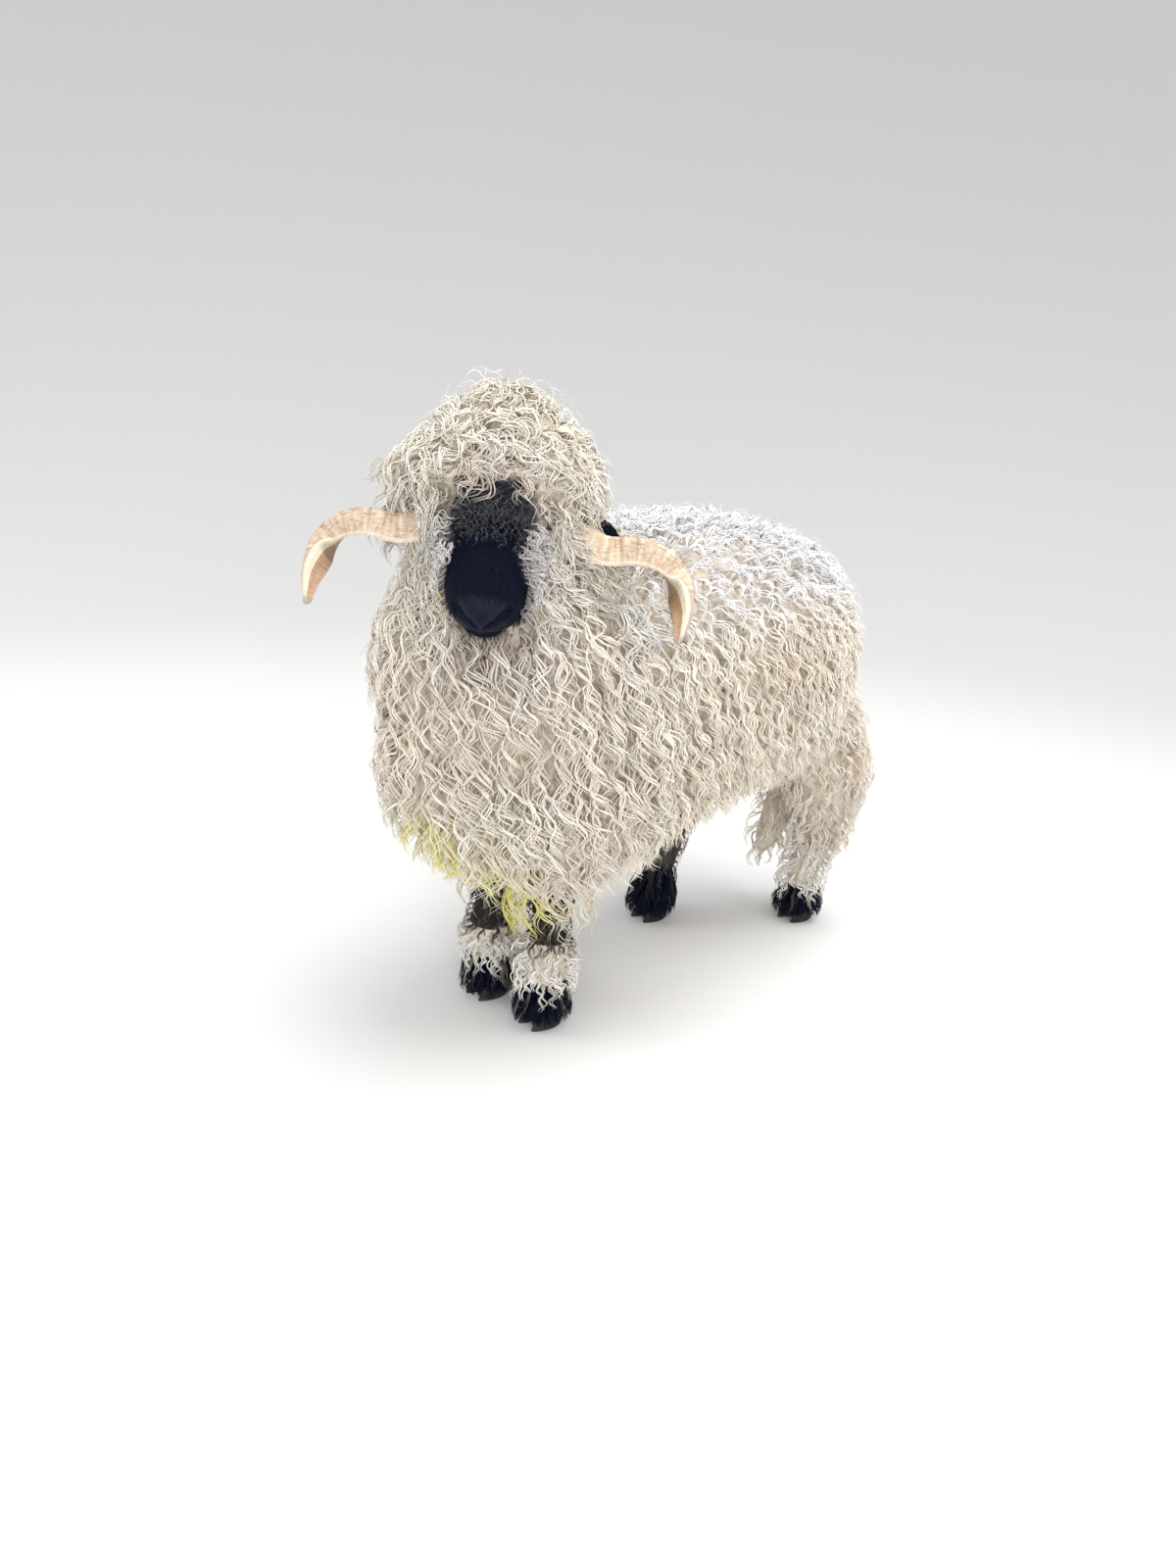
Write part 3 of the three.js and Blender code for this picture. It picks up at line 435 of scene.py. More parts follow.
bm = bmesh.new()
loft(bm, [(on_face(back, 0, low), *size) for back, low, *size in SKULL], head_left, face_out)
loft(bm, [(on_face(back, 0, low), *size) for back, low, *size in JAW], head_left, face_out)
for sign in (1, -1):
    add_ear(bm, sign)
face = finished(bm, "face_skin")
applied(face, ("REMESH", {"mode": "VOXEL", "voxel_size": FACE_VOXEL}),
        ("SMOOTH", {"factor": 0.5, "iterations": 8}))
print("face skin:", len(face.data.polygons), "faces")

# %% Press in the nostrils and mouth, raise the lips and lids
EYE_RADIUS, EYE_OPENING = 14, 0.62


def vertex_array(mesh, what="co"):
    flat = np.empty(len(mesh.vertices) * 3)
    source = mesh.vertices if what == "co" else mesh.vertex_normals
    source.foreach_get("co" if what == "co" else "vector", flat)
    return flat.reshape(-1, 3)


def distance_to_line(points, line):
    """The distance of many points to the nearest of a line's short straight runs."""
    best = np.full(len(points), 1e9)
    for start, end in zip(line[:-1], line[1:]):
        start, end = np.array(start, float), np.array(end, float)
        run = end - start
        share = np.clip((points - start) @ run / (run @ run), 0, 1)
        best = np.minimum(best, np.linalg.norm(points - start - share[:, None] * run, axis=1))
    return best


def bump(distance, width):
    return np.exp(-(distance / width) ** 2)


def eye_axes(sign):
    out = (head_forward * 0.6 + head_left * (0.78 * sign) + head_up * 0.08).normalized()
    along = (face_down - out * face_down.dot(out)).normalized()
    return along, out.cross(along), out


points = vertex_array(face.data)
normals = vertex_array(face.data, "normal")
spot = face_coordinates(points)
push = np.zeros(len(points))
mouth = [(58, 46, -76), (30, 43, -71), (4, 31, -68), (-12, 14, -67), (-17, 0, -64)]
mouth += [(back, -left, out) for back, left, out in mouth[-2::-1]]
to_mouth = distance_to_line(spot, mouth)
push += 3.2 * bump(to_mouth - 7, 4.5) - 8 * bump(to_mouth, 2.8)
to_groove = distance_to_line(spot, [(-16, 0, -34), (-19, 0, -46), (-18, 0, -62)])
push -= 4.5 * bump(to_groove, 2.6)
for sign in (1, -1):
    nostril = [(-17, 8 * sign, -39), (-16, 14 * sign, -33), (-12, 21 * sign, -27),
               (-6, 26 * sign, -22), (1, 28 * sign, -22), (4, 28 * sign, -26)]
    to_nostril = distance_to_line(spot, nostril)
    push += 5.5 * bump(to_nostril - 9, 5) - 13 * bump(to_nostril, 3.6)
    around = in_axes(points, on_head(*mirrored(EYE_PLACE, sign)), eye_axes(sign))
    oval = np.hypot(around[:, 0], around[:, 1] / EYE_OPENING)
    outside = around[:, 2] > -6
    push += np.where(outside, 5.0 * bump(oval - 19, 7) - 12 * bump(np.maximum(oval - 5, 0), 6.5), 0)
points += normals * push[:, None] * MM
face.data.vertices.foreach_set("co", points.ravel())
face.data.update()
applied(face, ("SMOOTH", {"factor": 0.4, "iterations": 2}))

# %% Join body and face into one skin
applied(body, ("BOOLEAN", {"operation": "UNION", "solver": "MANIFOLD", "object": face}))
bpy.data.objects.remove(face)
skin = body
skin.name = "skin"
skin.data.name = "skin"
skin.data.shade_smooth()
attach(skin, "root")
FLESH = ["torso", "neck", "head", "face", "ear_left", "ear_right", "tail"]
FLESH += [f"{leg}_{part}" for leg in legs for part in ("leg", "foot")]
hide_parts(*FLESH)
print("skin:", len(skin.data.polygons), "faces", [round(v, 3) for v in skin.dimensions])

# %% [markdown]
# ## Places on the skin
# Every lock needs a root on the skin, and it keeps the markings of that place. So the skin is
# unwrapped once, like a hide laid flat, and its triangles are kept as arrays. Roots can then be
# drawn at random by area, each with its normal and with its place on the unwrapped hide.

# %% Unwrap the skin
bpy.context.view_layer.objects.active = skin
skin.select_set(True)
bpy.ops.object.mode_set(mode="EDIT")
bpy.ops.mesh.select_all(action="SELECT")
bpy.ops.uv.smart_project(angle_limit=math.radians(75), island_margin=0.002)
bpy.ops.object.mode_set(mode="OBJECT")
skin.data.uv_layers[0].name = "OFBake"

skin.data.calc_loop_triangles()
count = len(skin.data.loop_triangles)
corner_points = np.empty(count * 3, dtype=np.int32)
corner_loops = np.empty(count * 3, dtype=np.int32)
skin.data.loop_triangles.foreach_get("vertices", corner_points)
skin.data.loop_triangles.foreach_get("loops", corner_loops)
skin_points = vertex_array(skin.data)
skin_normals = vertex_array(skin.data, "normal")
hide = np.empty(len(skin.data.loops) * 2)
skin.data.uv_layers["OFBake"].data.foreach_get("uv", hide)
corners = skin_points[corner_points].reshape(-1, 3, 3)
corner_normals = skin_normals[corner_points].reshape(-1, 3, 3)
corner_hide = hide.reshape(-1, 2)[corner_loops].reshape(-1, 3, 2)
middles = corners.mean(axis=1)
facing = corner_normals.mean(axis=1)
areas = np.linalg.norm(np.cross(corners[:, 1] - corners[:, 0], corners[:, 2] - corners[:, 0]), axis=1) / 2
tree = BVHTree.FromObject(skin, bpy.context.evaluated_depsgraph_get())
print("skin area:", round(areas.sum(), 2), "m2 in", count, "triangles")

# %% [markdown]
# ## Regions and markings
# The breed is white with black nose, ears, knees and feet. The wool also differs by region, from
# tight short curls on the back to long waves on the chest. One set of soft masks, worked out from
# position alone, says how far a place belongs to each region. The skin and the coat both read
# it, so a marking never stops at the edge of a piece.

# %% Soft masks over the body
SEED = 20
rng = np.random.default_rng(SEED)
noise.seed_set(SEED)


def rising(values, low, high):
    """0 below low, 1 above high, and a smooth step between."""
    share = np.clip((values - low) / (high - low), 0, 1)
    return share * share * (3 - 2 * share)


def band(values, low, high, soft):
    return rising(values, low - soft, low + soft) * (1 - rising(values, high - soft, high + soft))


def away_from(points, spot):
    return np.linalg.norm(points - np.array(spot), axis=1)


def varied(points, size, seed):
    """Smooth random values from -1 to 1 over space, with features of a size in millimetres."""
    shift = Vector((seed * 7.1, seed * 3.3, seed * 5.7))
    return np.array([noise.noise(Vector(p) / (size * MM) + shift) for p in points])


def ear_share(head):
    """0 at the root of the nearer ear and 1 at its tip, with the distance from its middle line."""
    best = np.full(len(head), 1e9)
    share = np.zeros(len(head))
    for sign in (1, -1):
        root = np.array(mirrored(EAR_ROOT, sign))
        run = np.array(mirrored(EAR_TIP, sign)) - root
        here = np.clip((head - root) @ run / (run @ run), 0, 1)
        away = np.linalg.norm(head - root - here[:, None] * run, axis=1)
        share = np.where(away < best, here, share)
        best = np.minimum(best, away)
    return share, best


NAPE, RUSTY_CHEEK, RUSTY_CHEST = (10, 0, 10), (95, 92, -70), (465, 225, 622)


def regions(points, outward):
    """How far each point belongs to each region of the coat, from 0 to 1."""
    body = in_axes(points, ORIGIN, np.eye(3))
    head = head_coordinates(points)
    face = face_coordinates(points)
    x, y, z = body.T
    back_along, aside, out = face.T
    wide = np.abs(aside)
    ragged = 9 * varied(points, 16, 3) + 5 * varied(points, 7, 4)
    chin_line = 0.35 * np.clip(back_along - 40, 0, 90) - 112
    on_front = rising(head[:, 0], 50, 76) * rising(out - chin_line, 0, 14)
    near_head = rising(-away_from(head, NAPE), -262, -222) * rising(z, 745, 800)
    black_left = np.interp(back_along, [-20, 30, 62, 90, 120, 150, 175], [70, 66, 42, 36, 46, 56, 44])
    black_right = np.interp(back_along, [-20, 30, 62, 90, 120, 150, 175], [70, 66, 52, 50, 54, 60, 44])
    black_width = np.where(aside > 0, black_left, black_right)
    black = rising(black_width + ragged - wide, -4, 4) * rising(166 + ragged - back_along, -8, 8) * on_front
    grey = rising(84 + ragged - wide, -10, 10) * rising(172 + ragged - back_along, -10, 10) * on_front
    share, away = ear_share(head)
    ears = rising(40 - away, 0, 6) * rising(share, 0.18, 0.34)
    leg = 1 - rising(z, 300, 330)
    front = rising(x, 150, 180)
    left = rising(y, -20, 0)
    hem = 7 * varied(points, 22, 5)
    ring_top = np.where(front > 0.5, np.where(left > 0.5, 160, 138), np.where(left > 0.5, 205, 60)) + hem
    foot_top = np.where(front > 0.5, 92, np.where(left > 0.5, 88, 120)) + hem
    foot = rising(foot_top - z, -5, 5) * leg
    ring = rising(z - foot_top, -5, 5) * rising(ring_top - z, -5, 5) * leg
    dark_leg = np.where(front > 0.5, 1, np.where(left > 0.5, 0, 0.95))
    tail = rising(-x, 330, 360) * rising(95 - np.abs(y + 15), 0, 10) * rising(640 - z, 0, 60)
    tail *= np.where((z < 300) & (y > 20), 0, 1)
    knee = rising(z - ring_top, -5, 5) * rising(296 - z + hem, -8, 8) * leg * dark_leg * (1 - tail)
    foot, ring = foot * (1 - tail), ring * (1 - tail)
    chest = rising(x, 215, 320) * (1 - near_head)
    back = rising(outward[:, 2], 0.25, 0.75) * (1 - near_head) * rising(z, 600, 700)
    thigh = rising(-x, 110, 230) * rising(560 - z, 0, 160)
    return {
        "x": x, "y": y, "z": z, "head": head, "face": face, "near_head": near_head,
        "black": black, "grey": grey, "ears": ears, "foot": foot, "ring": ring, "knee": knee,
        "tail": tail, "chest": chest, "back": back, "thigh": thigh,
    }


# %% Colours of the coat
CREAM, PALE, BEIGE = tone(242, 234, 218), tone(248, 246, 240), tone(232, 214, 198)
SKYLIT_WHITE, COOL, STRAW = tone(236, 239, 246), tone(229, 226, 225), tone(224, 210, 140)
# The black of face, ears and feet is given a blue cast: a painted reflection of the sky on dark hair and
# skin.
GREY, BLACK_WITH_SKY_BLUE, BROWN = tone(128, 122, 124), tone(8, 17, 37), tone(50, 43, 40)
DARK_GREY, PINK, RUST = tone(48, 51, 62), tone(222, 186, 166), tone(190, 120, 95)
YELLOW, WHITE, SAGE = tone(226, 220, 116), tone(246, 243, 236), tone(206, 204, 180)
# The darker, warmer beige below is painted shade, for the skin seen deep between the locks.
DEEP_WOOL_SHADE = tone(218, 206, 190)


def towards(colours, target, share):
    return colours + (np.array(target) - colours) * np.clip(share, 0, 1)[:, None]


def marking(points, outward):
    """The colour of skin and wool at each point."""
    at = regions(points, outward)
    x, y, z = at["x"], at["y"], at["z"]
    back_along, aside, out = at["face"].T
    patches = varied(points, 130, 1) * 0.8 + varied(points, 45, 2) * 0.5
    hem = rising(480 - z, 0, 70) * rising(z, 230, 260) * band(y, -50, 85, 22)
    brow = rising(back_along, 160, 175) * rising(215 - back_along, 0, 30) * rising(60 - np.abs(aside), 0, 30)
    on_chest = away_from(np.stack([x, y, z], axis=1), RUSTY_CHEST)
    layers = [
        # Wool that faces up is painted whiter and bluer, and less beige: painted sky light on the back.
        (BEIGE, 0.34 + 0.75 * patches - 0.55 * at["back"] - 0.5 * at["near_head"]),
        (SKYLIT_WHITE, 0.9 * at["back"]),
        (SAGE, 0.6 * at["chest"] * rising(-y, -20, 80) * rising(560 - z, 0, 120)),
        (YELLOW, at["chest"] * hem * rising(varied(points, 70, 8), -0.7, -0.3)),
        (RUST, 0.85 * bump(on_chest, 20)),
        (PINK, 0.35 * brow),
        (GREY, at["grey"]),
        (DARK_GREY, at["grey"] * rising(66 - np.abs(aside), 0, 20)),
        (RUST, 0.45 * bump(away_from(at["face"], RUSTY_CHEEK), 26)),
        (DARK_GREY, at["black"] * (0.95 - 0.2 * rising(back_along, 110, 150))),
        (BLACK_WITH_SKY_BLUE, at["black"] * rising(132 - back_along, 0, 26)),
        (BLACK_WITH_SKY_BLUE, at["ears"]),
        (BROWN, at["knee"]),
        (WHITE, at["ring"]),
    ]
    colours = np.tile(np.array(CREAM), (len(points), 1))
    for colour, share in layers:
        colours = towards(colours, colour, share)
    # Wool near the head, and on the chest towards its right side, is painted darker.
    darkened = 0.14 * at["near_head"] + 0.07 * at["chest"] * rising(90 - y, 0, 120)
    return towards(colours * (1 - darkened[:, None]), BLACK_WITH_SKY_BLUE, at["foot"])


def paint(mesh, colours):
    layer = mesh.color_attributes.new("marking", "FLOAT_COLOR", "POINT")
    full = np.ones((len(colours), 4))
    full[:, :3] = colours
    layer.data.foreach_set("color", full.ravel())


def wetness(points):
    """The moist skin round the nostrils and lips."""
    back_along, aside, out = face_coordinates(points).T
    on_nose = rising(12 - back_along, 0, 10) * rising(36 - np.abs(aside), 0, 10)
    return on_nose * rising(out, -74, -66)


paint(skin.data, marking(skin_points, skin_normals))
wet_layer = skin.data.attributes.new("wet", "FLOAT", "POINT")
wet_layer.data.foreach_set("value", wetness(skin_points))

# %% [markdown]
# ## Locks of wool
# Wool grows in staples, small bundles of fibres that share one wave and draw together at the tip.
# Each staple here follows a guide that leaves the skin at its root, rises to the depth of the
# fleece and then runs the way the wool lies. Several thin strands are laid round every guide. A
# strand is a closed three-sided tube, which is cheap enough for many thousands of them.

# %% Roots spread evenly over a region
def scattered(weights, spacing):
    """Roots at a spacing in millimetres, wherever the weights aren't zero."""
    chance = areas * weights
    wanted = int(2.6 * chance.sum() / (spacing * MM) ** 2)
    chosen = rng.choice(len(areas), wanted, p=chance / chance.sum())
    a, b = rng.random((2, wanted))
    a, b = np.where(a + b > 1, 1 - a, a), np.where(a + b > 1, 1 - b, b)
    mix = np.stack([1 - a - b, a, b], axis=1)[:, :, None]
    at = (corners[chosen] * mix).sum(axis=1)
    cells = np.floor(at / (spacing * MM)).astype(int).tolist()
    spots = at.tolist()
    nearest = 0.6 * (spacing * MM) ** 2
    taken = {}
    kept = []
    for number, (cell, spot) in enumerate(zip(cells, spots)):
        close = False
        for i in (-1, 0, 1):
            for j in (-1, 0, 1):
                for k in (-1, 0, 1):
                    other = taken.get((cell[0] + i, cell[1] + j, cell[2] + k))
                    if other and sum((p - q) ** 2 for p, q in zip(other, spot)) < nearest:
                        close = True
        if not close:
            taken[tuple(cell)] = spot
            kept.append(number)
    outward = (corner_normals[chosen] * mix).sum(axis=1)
    outward /= np.linalg.norm(outward, axis=1)[:, None]
    flat = (corner_hide[chosen] * mix).sum(axis=1)
    return at[kept], outward[kept], flat[kept]


# %% Guides that leave the skin and follow the lie
SKIN_SINK = 3
GUIDE_STEPS = 7
DOWN = Vector((0, 0, -1))
STRAY_SIZE = 0.045
CURL_UP = 0.85
RISE_SPEED = 2.6


def walked(roots, outwards, lies, lengths, depths, wander=0.6, weight=0.6):
    """Guide curves from the roots, and the outward direction at each of their points."""
    paths = np.empty((len(roots), GUIDE_STEPS + 1, 3))
    ups = np.empty_like(paths)
    for number, (root, outward, lie) in enumerate(zip(roots, outwards, lies)):
        point, outward, lie = Vector(root), Vector(outward), Vector(lie)
        heading = (outward * 0.8 + lie * 0.5).normalized()
        step = lengths[number] * MM / GUIDE_STEPS
        paths[number, 0] = point - outward * SKIN_SINK * MM
        ups[number, 0] = outward
        for index in range(1, GUIDE_STEPS + 1):
            stray = noise.noise_vector(point / STRAY_SIZE) * wander
            hangs = max(0.0, min(1.0, -outward.z * 2.0 - 0.1))
            want = lie * (1 - hangs) + DOWN * (weight + hangs) + stray
            want -= outward * want.dot(outward) * (1 - hangs)
            heading = (heading * 0.45 + want.normalized() * 0.55).normalized()
            target = depths[number] * MM * min(1, RISE_SPEED * index / GUIDE_STEPS) ** 0.8
            height = (point - tree.find_nearest(point)[0]).length
            slowed = 1 - CURL_UP * hangs * min(1, max(0, height / target - 0.8) * 3)
            point = point + heading * step * slowed
            near, outward = tree.find_nearest(point)[:2]
            height = (point - near).dot(outward)
            if height < target:
                point = point + outward * (target - height)
            else:
                point = point - outward * ((height - target) * 0.6 * (1 - hangs))
            paths[number, index] = point
            ups[number, index] = outward
    return paths, ups


# %% Strands round the guides
TUBE_SIDES = 3
RINGS_PER_WAVE = 5.5
CROWDED, DRAWN_IN, LIFTED, BLUNT, FLATNESS = 0.85, 0.6, 0.5, 0.35, 0.5
PATCH = 0.003


def unit(vectors):
    return vectors / np.maximum(np.linalg.norm(vectors, axis=-1, keepdims=True), 1e-9)


def smoothed(paths):
    """The same curves with twice the points, rounded at the bends."""
    between = (paths[:, 1:] + paths[:, :-1]) / 2
    inner = paths[:, 1:-1] * 0.5 + (between[:, 1:] + between[:, :-1]) * 0.25
    full = np.empty((len(paths), 2 * paths.shape[1] - 1, 3))
    full[:, 1::2] = between
    full[:, 2:-1:2] = inner
    full[:, 0] = paths[:, 0]
    full[:, -1] = paths[:, -1]
    return full


def resampled(paths, rings):
    """The same curves at a number of rings that crowd towards the tip."""
    at = np.linspace(0, 1, rings) ** CROWDED * (paths.shape[1] - 1)
    low = np.minimum(at.astype(int), paths.shape[1] - 2)
    share = (at - low)[None, :, None]
    return paths[:, low] * (1 - share) + paths[:, low + 1] * share


class Strands:
    """Waved strands round guides: middle lines, radii, and the guide that each belongs to."""

    def __init__(self, paths, ups, per_lock, width, spread, wave, swing, loose=0.5, rings=0):
        length = np.linalg.norm(np.diff(paths, axis=1), axis=2).sum(axis=1).mean() / MM
        rings = rings or round(RINGS_PER_WAVE * length / wave) + 2
        paths, ups = (resampled(smoothed(smoothed(curves)), rings) for curves in (paths, ups))
        self.owner = np.repeat(np.arange(len(paths)), per_lock)
        total = len(self.owner)
        line, up = paths[self.owner], unit(ups[self.owner])
        along = unit(np.gradient(line, axis=1))
        side = unit(np.cross(up, along))
        up = np.cross(along, side)
        lengths = np.linalg.norm(np.diff(line, axis=1), axis=2)
        run = np.concatenate([np.zeros((total, 1)), np.cumsum(lengths, axis=1)], axis=1) / MM
        share = run / run[:, -1:]
        waves = wave * rng.uniform(0.8, 1.25, len(paths))[self.owner] * rng.uniform(0.93, 1.07, total)
        swings = swing * rng.uniform(0.6, 1.4, len(paths))[self.owner] * rng.uniform(0.8, 1.2, total)
        phase = rng.uniform(0, 2 * math.pi, len(paths))[self.owner] + rng.normal(0, loose, total)
        angle = rng.uniform(0, 2 * math.pi, total)
        reach = spread * np.sqrt(rng.random(total))
        turn = 2 * math.pi * run / waves[:, None] + phase[:, None]
        grown = np.clip(share * 2.5, 0, 1)
        gather = (1 - DRAWN_IN * share ** 1.5) * np.clip(share * 2, 0, 1) * reach[:, None]
        sideways = gather * np.cos(angle)[:, None] + np.sin(turn) * swings[:, None] * grown
        upwards = gather * 0.6 * np.sin(angle)[:, None] + np.cos(turn) * swings[:, None] * grown * LIFTED
        self.line = line + (side * sideways[..., None] + up * upwards[..., None]) * MM
        self.up = up
        self.share = share
        self.run = run
        slim = (1 - BLUNT) * (1 - share) + BLUNT * np.sqrt(np.clip(1 - share, 0, 1))
        slim = np.clip(slim * 1.25, 0.05, 1) * np.clip(0.5 + share * 3, 0, 1)
        self.radius = (width / 2 * rng.uniform(0.75, 1.25, total))[:, None] * slim


ROOT_SHADE = (0.86, 0.81, 0.75)


def tuft_mesh(name, made, colours, flat, root=ROOT_SHADE):
    """One object out of many closed tubes, with their colour, fibre direction and bake patch."""
    total, rings = made.line.shape[:2]
    along = unit(np.gradient(made.line, axis=1))
    side = unit(np.cross(made.up, along))
    up = np.cross(along, side)
    angles = np.arange(TUBE_SIDES) * 2 * math.pi / TUBE_SIDES + math.pi / 2
    around = (side[:, :, None] * np.cos(angles)[:, None]
              + up[:, :, None] * (np.sin(angles) * FLATNESS)[:, None])
    points = made.line[:, :, None] + around * made.radius[:, :, None, None] * MM
    grid = np.arange(total * rings * TUBE_SIDES, dtype=np.int32).reshape(total, rings, TUBE_SIDES)
    step = np.roll(grid, -1, axis=2)
    quads = np.stack([grid[:, :-1], step[:, :-1], step[:, 1:], grid[:, 1:]], axis=-1).reshape(-1)
    caps = np.concatenate([grid[:, 0, ::-1], grid[:, -1]]).reshape(-1)
    loops = np.concatenate([quads, caps])
    sizes = np.concatenate([np.full(len(quads) // 4, 4), np.full(len(caps) // 3, 3)])
    mesh = bpy.data.meshes.new(name)
    mesh.vertices.add(grid.size)
    mesh.vertices.foreach_set("co", points.ravel())
    mesh.loops.add(len(loops))
    mesh.loops.foreach_set("vertex_index", loops)
    mesh.polygons.add(len(sizes))
    mesh.polygons.foreach_set("loop_start", np.concatenate([[0], np.cumsum(sizes)[:-1]]).astype(np.int32))
    mesh.polygons.foreach_set("use_smooth", np.ones(len(sizes), dtype=bool))
    mesh.update(calc_edges=True)
    # Each strand is painted darker towards its root by the root factor: painted shade deep in the fleece
    # (for the cheek curls the factor also matches the dark face beside them).
    deep = (1 - np.clip(made.share * 1.8, 0, 1))[:, :, None, None]
    shade = 1 + (np.array(root) - 1) * np.repeat(deep, TUBE_SIDES, axis=2)
    paint(mesh, (colours[made.owner][:, None, None] * shade).reshape(-1, 3))
    fibre = np.empty((total, rings, TUBE_SIDES, 3))
    fibre[..., 0] = np.cos(angles) * made.radius.max(axis=1)[:, None, None]
    fibre[..., 1] = made.run[:, :, None]
    fibre[..., 2] = rng.uniform(0, 900, total)[:, None, None]
    layer = mesh.attributes.new("fibre", "FLOAT_VECTOR", "POINT")
    layer.data.foreach_set("vector", fibre.ravel())
    patch = np.empty((total, rings, TUBE_SIDES, 2))
    place_on_hide = flat[made.owner][:, None, None]
    patch[..., 0] = place_on_hide[..., 0] + PATCH * (made.share[:, :, None] - 0.5)
    patch[..., 1] = place_on_hide[..., 1] + PATCH * (np.arange(TUBE_SIDES) / 2 - 0.5)
    mesh.uv_layers.new(name="OFBake").data.foreach_set("uv", patch.reshape(-1, 2)[loops].ravel())
    piece = link(mesh, name)
    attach(piece, "root")
    coat.append(piece)
    triangles[name] = len(quads) // 2 + len(caps) // 3
    print(name, total, "strands,", triangles[name], "triangles")


coat = []
triangles = {}
# %% [markdown]
# ## Horns
# The horns leave the wool sideways, then turn down and forward. A horn is three-sided: a front
# face with growth bars, a rounded keel with a painted highlight and a broad hollowed inner face. It
# also turns about its own line, so that the inner face looks forward near the tip. One ring is
# extruded along the line, with its two directions given at each station, and every ring is a
# little thicker or thinner than the last, which makes the growth rings.

# %% Stations of a horn, from the head's middle
HORN_SIDES = 36
HORN_RINGS = 110
HORN_DEPTH = 0.78
HORN_HEIGHT = 0.35
RIDGE_SPACING = 9.5
RIDGE_DEPTH = 0.022
HORN_LEFTWARD = 12
HORN_CORNERS = 7
HORN = [
    (-16, 74, -40, 60, (0.95, 0.0, 0.3)),
    (-4, 106, -56, 60, (0.95, 0.0, 0.3)),
    (10, 142, -66, 58, (0.95, 0.0, 0.3)),
    (6, 188, -62, 53, (0.95, 0.05, 0.28)),
    (2, 222, -72, 48, (0.93, 0.2, 0.22)),
    (10, 246, -98, 40, (0.8, 0.55, 0.1)),
    (42, 256, -128, 29, (0.5, 0.85, 0.1)),
    (76, 254, -150, 15, (0.3, 0.95, 0.0)),
    (98, 250, -162, 10, (0.2, 0.97, 0.0)),
]
HORN_FACES = ((0, 0.62, 0.0), (128, 0.50, 0.18), (-128, 0.52, 0.0))


def horn_reach(angle):
    """How far the rounded three-sided section reaches in a direction."""
    total = 0
    for middle, near, hollow in HORN_FACES:
        part = max(0, math.cos(angle - math.radians(middle)))
        total += (part / (near * (1 - hollow * part ** 6))) ** HORN_CORNERS
    return total ** (-1 / HORN_CORNERS)


def build_horn(name, sign):
    across = Vector((1, sign, 1))
    line = [Vector((f, l + sign * HORN_LEFTWARD, u)) * across for f, l, u, wide, front in HORN]
    widths = [Vector((wide, 0, 0)) for f, l, u, wide, front in HORN]
    fronts = [Vector(front) * across for f, l, u, wide, front in HORN]
    to_world = Matrix((head_forward, head_left, head_up)).transposed()
    bm = bmesh.new()
    around = bm.verts.layers.float_vector.new("fibre")

    def three_sided(v):
        angle = math.atan2(v.co.y, v.co.x)
        v[around].x = angle * sign
        v.co *= horn_reach(angle * sign)

    places, marks = [], []
    run = 0
    for number in range(HORN_RINGS + 1):
        share = number / HORN_RINGS
        here = through(line, share)
        ahead = through(line, min(1, share + 0.01)) - through(line, max(0, share - 0.01))
        run += (here - through(line, max(0, share - 1 / HORN_RINGS))).length
        wave = math.sin(2 * math.pi * (run + 3 * math.sin(run / 17)) / RIDGE_SPACING)
        ridge = 1 + RIDGE_DEPTH * (1 - share) ** 0.7 * wave
        tip = min(1, (1 - share) * 22 + 0.25)
        size = through(widths, share).x * ridge * math.sqrt(tip)
        ahead = (to_world @ ahead).normalized()
        front = to_world @ through(fronts, share)
        front = (front - ahead * front.dot(ahead)).normalized()
        centre = ORIGIN + (HEAD_CENTRE + to_world @ here) * MM
        places.append(section_matrix(centre, front, ahead.cross(front), size * HORN_DEPTH * MM,
                                     size * HORN_HEIGHT * MM))
        marks.append((run, share))
    for ring, mark in zip(swept(bm, HORN_SIDES, three_sided, places), marks):
        for v in ring:
            v[around].yz = mark
    horn = finished(bm, name)
    smooth_sides(horn)
    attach(horn, "root")
    return horn


horns = []
for side, sign in (("left", 1), ("right", -1)):
    horn = build_horn(f"horn_{side}_grown", sign)
    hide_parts(f"horn_{side}")
    horns.append(horn)
print("horns:", [round(v, 3) for v in horns[0].dimensions])

# %% [markdown]
# ## Hooves
# A sheep stands on two claws on each foot. A claw is a blunt wedge: flat below, steep in front,
# rounded outside and almost flat where the two face each other. It is one circle, stretched to
# the outline of the sole and extruded upwards, with each step set back along the slope of the toe.

# %% Build the claws
CLAW_SIDES = 24
CLAW_FRONT, CLAW_BACK, CLAW_HALF_WIDTH, CLAW_HEIGHT, CLAW_OFFSET = 40, 26, 14.5, 34, 17
CLAW_STEPS = [(0, 0.97, 0), (0.03, 1.0, 0), (0.3, 0.97, 3), (0.6, 0.9, 8), (0.85, 0.8, 12), (1, 0.62, 14)]


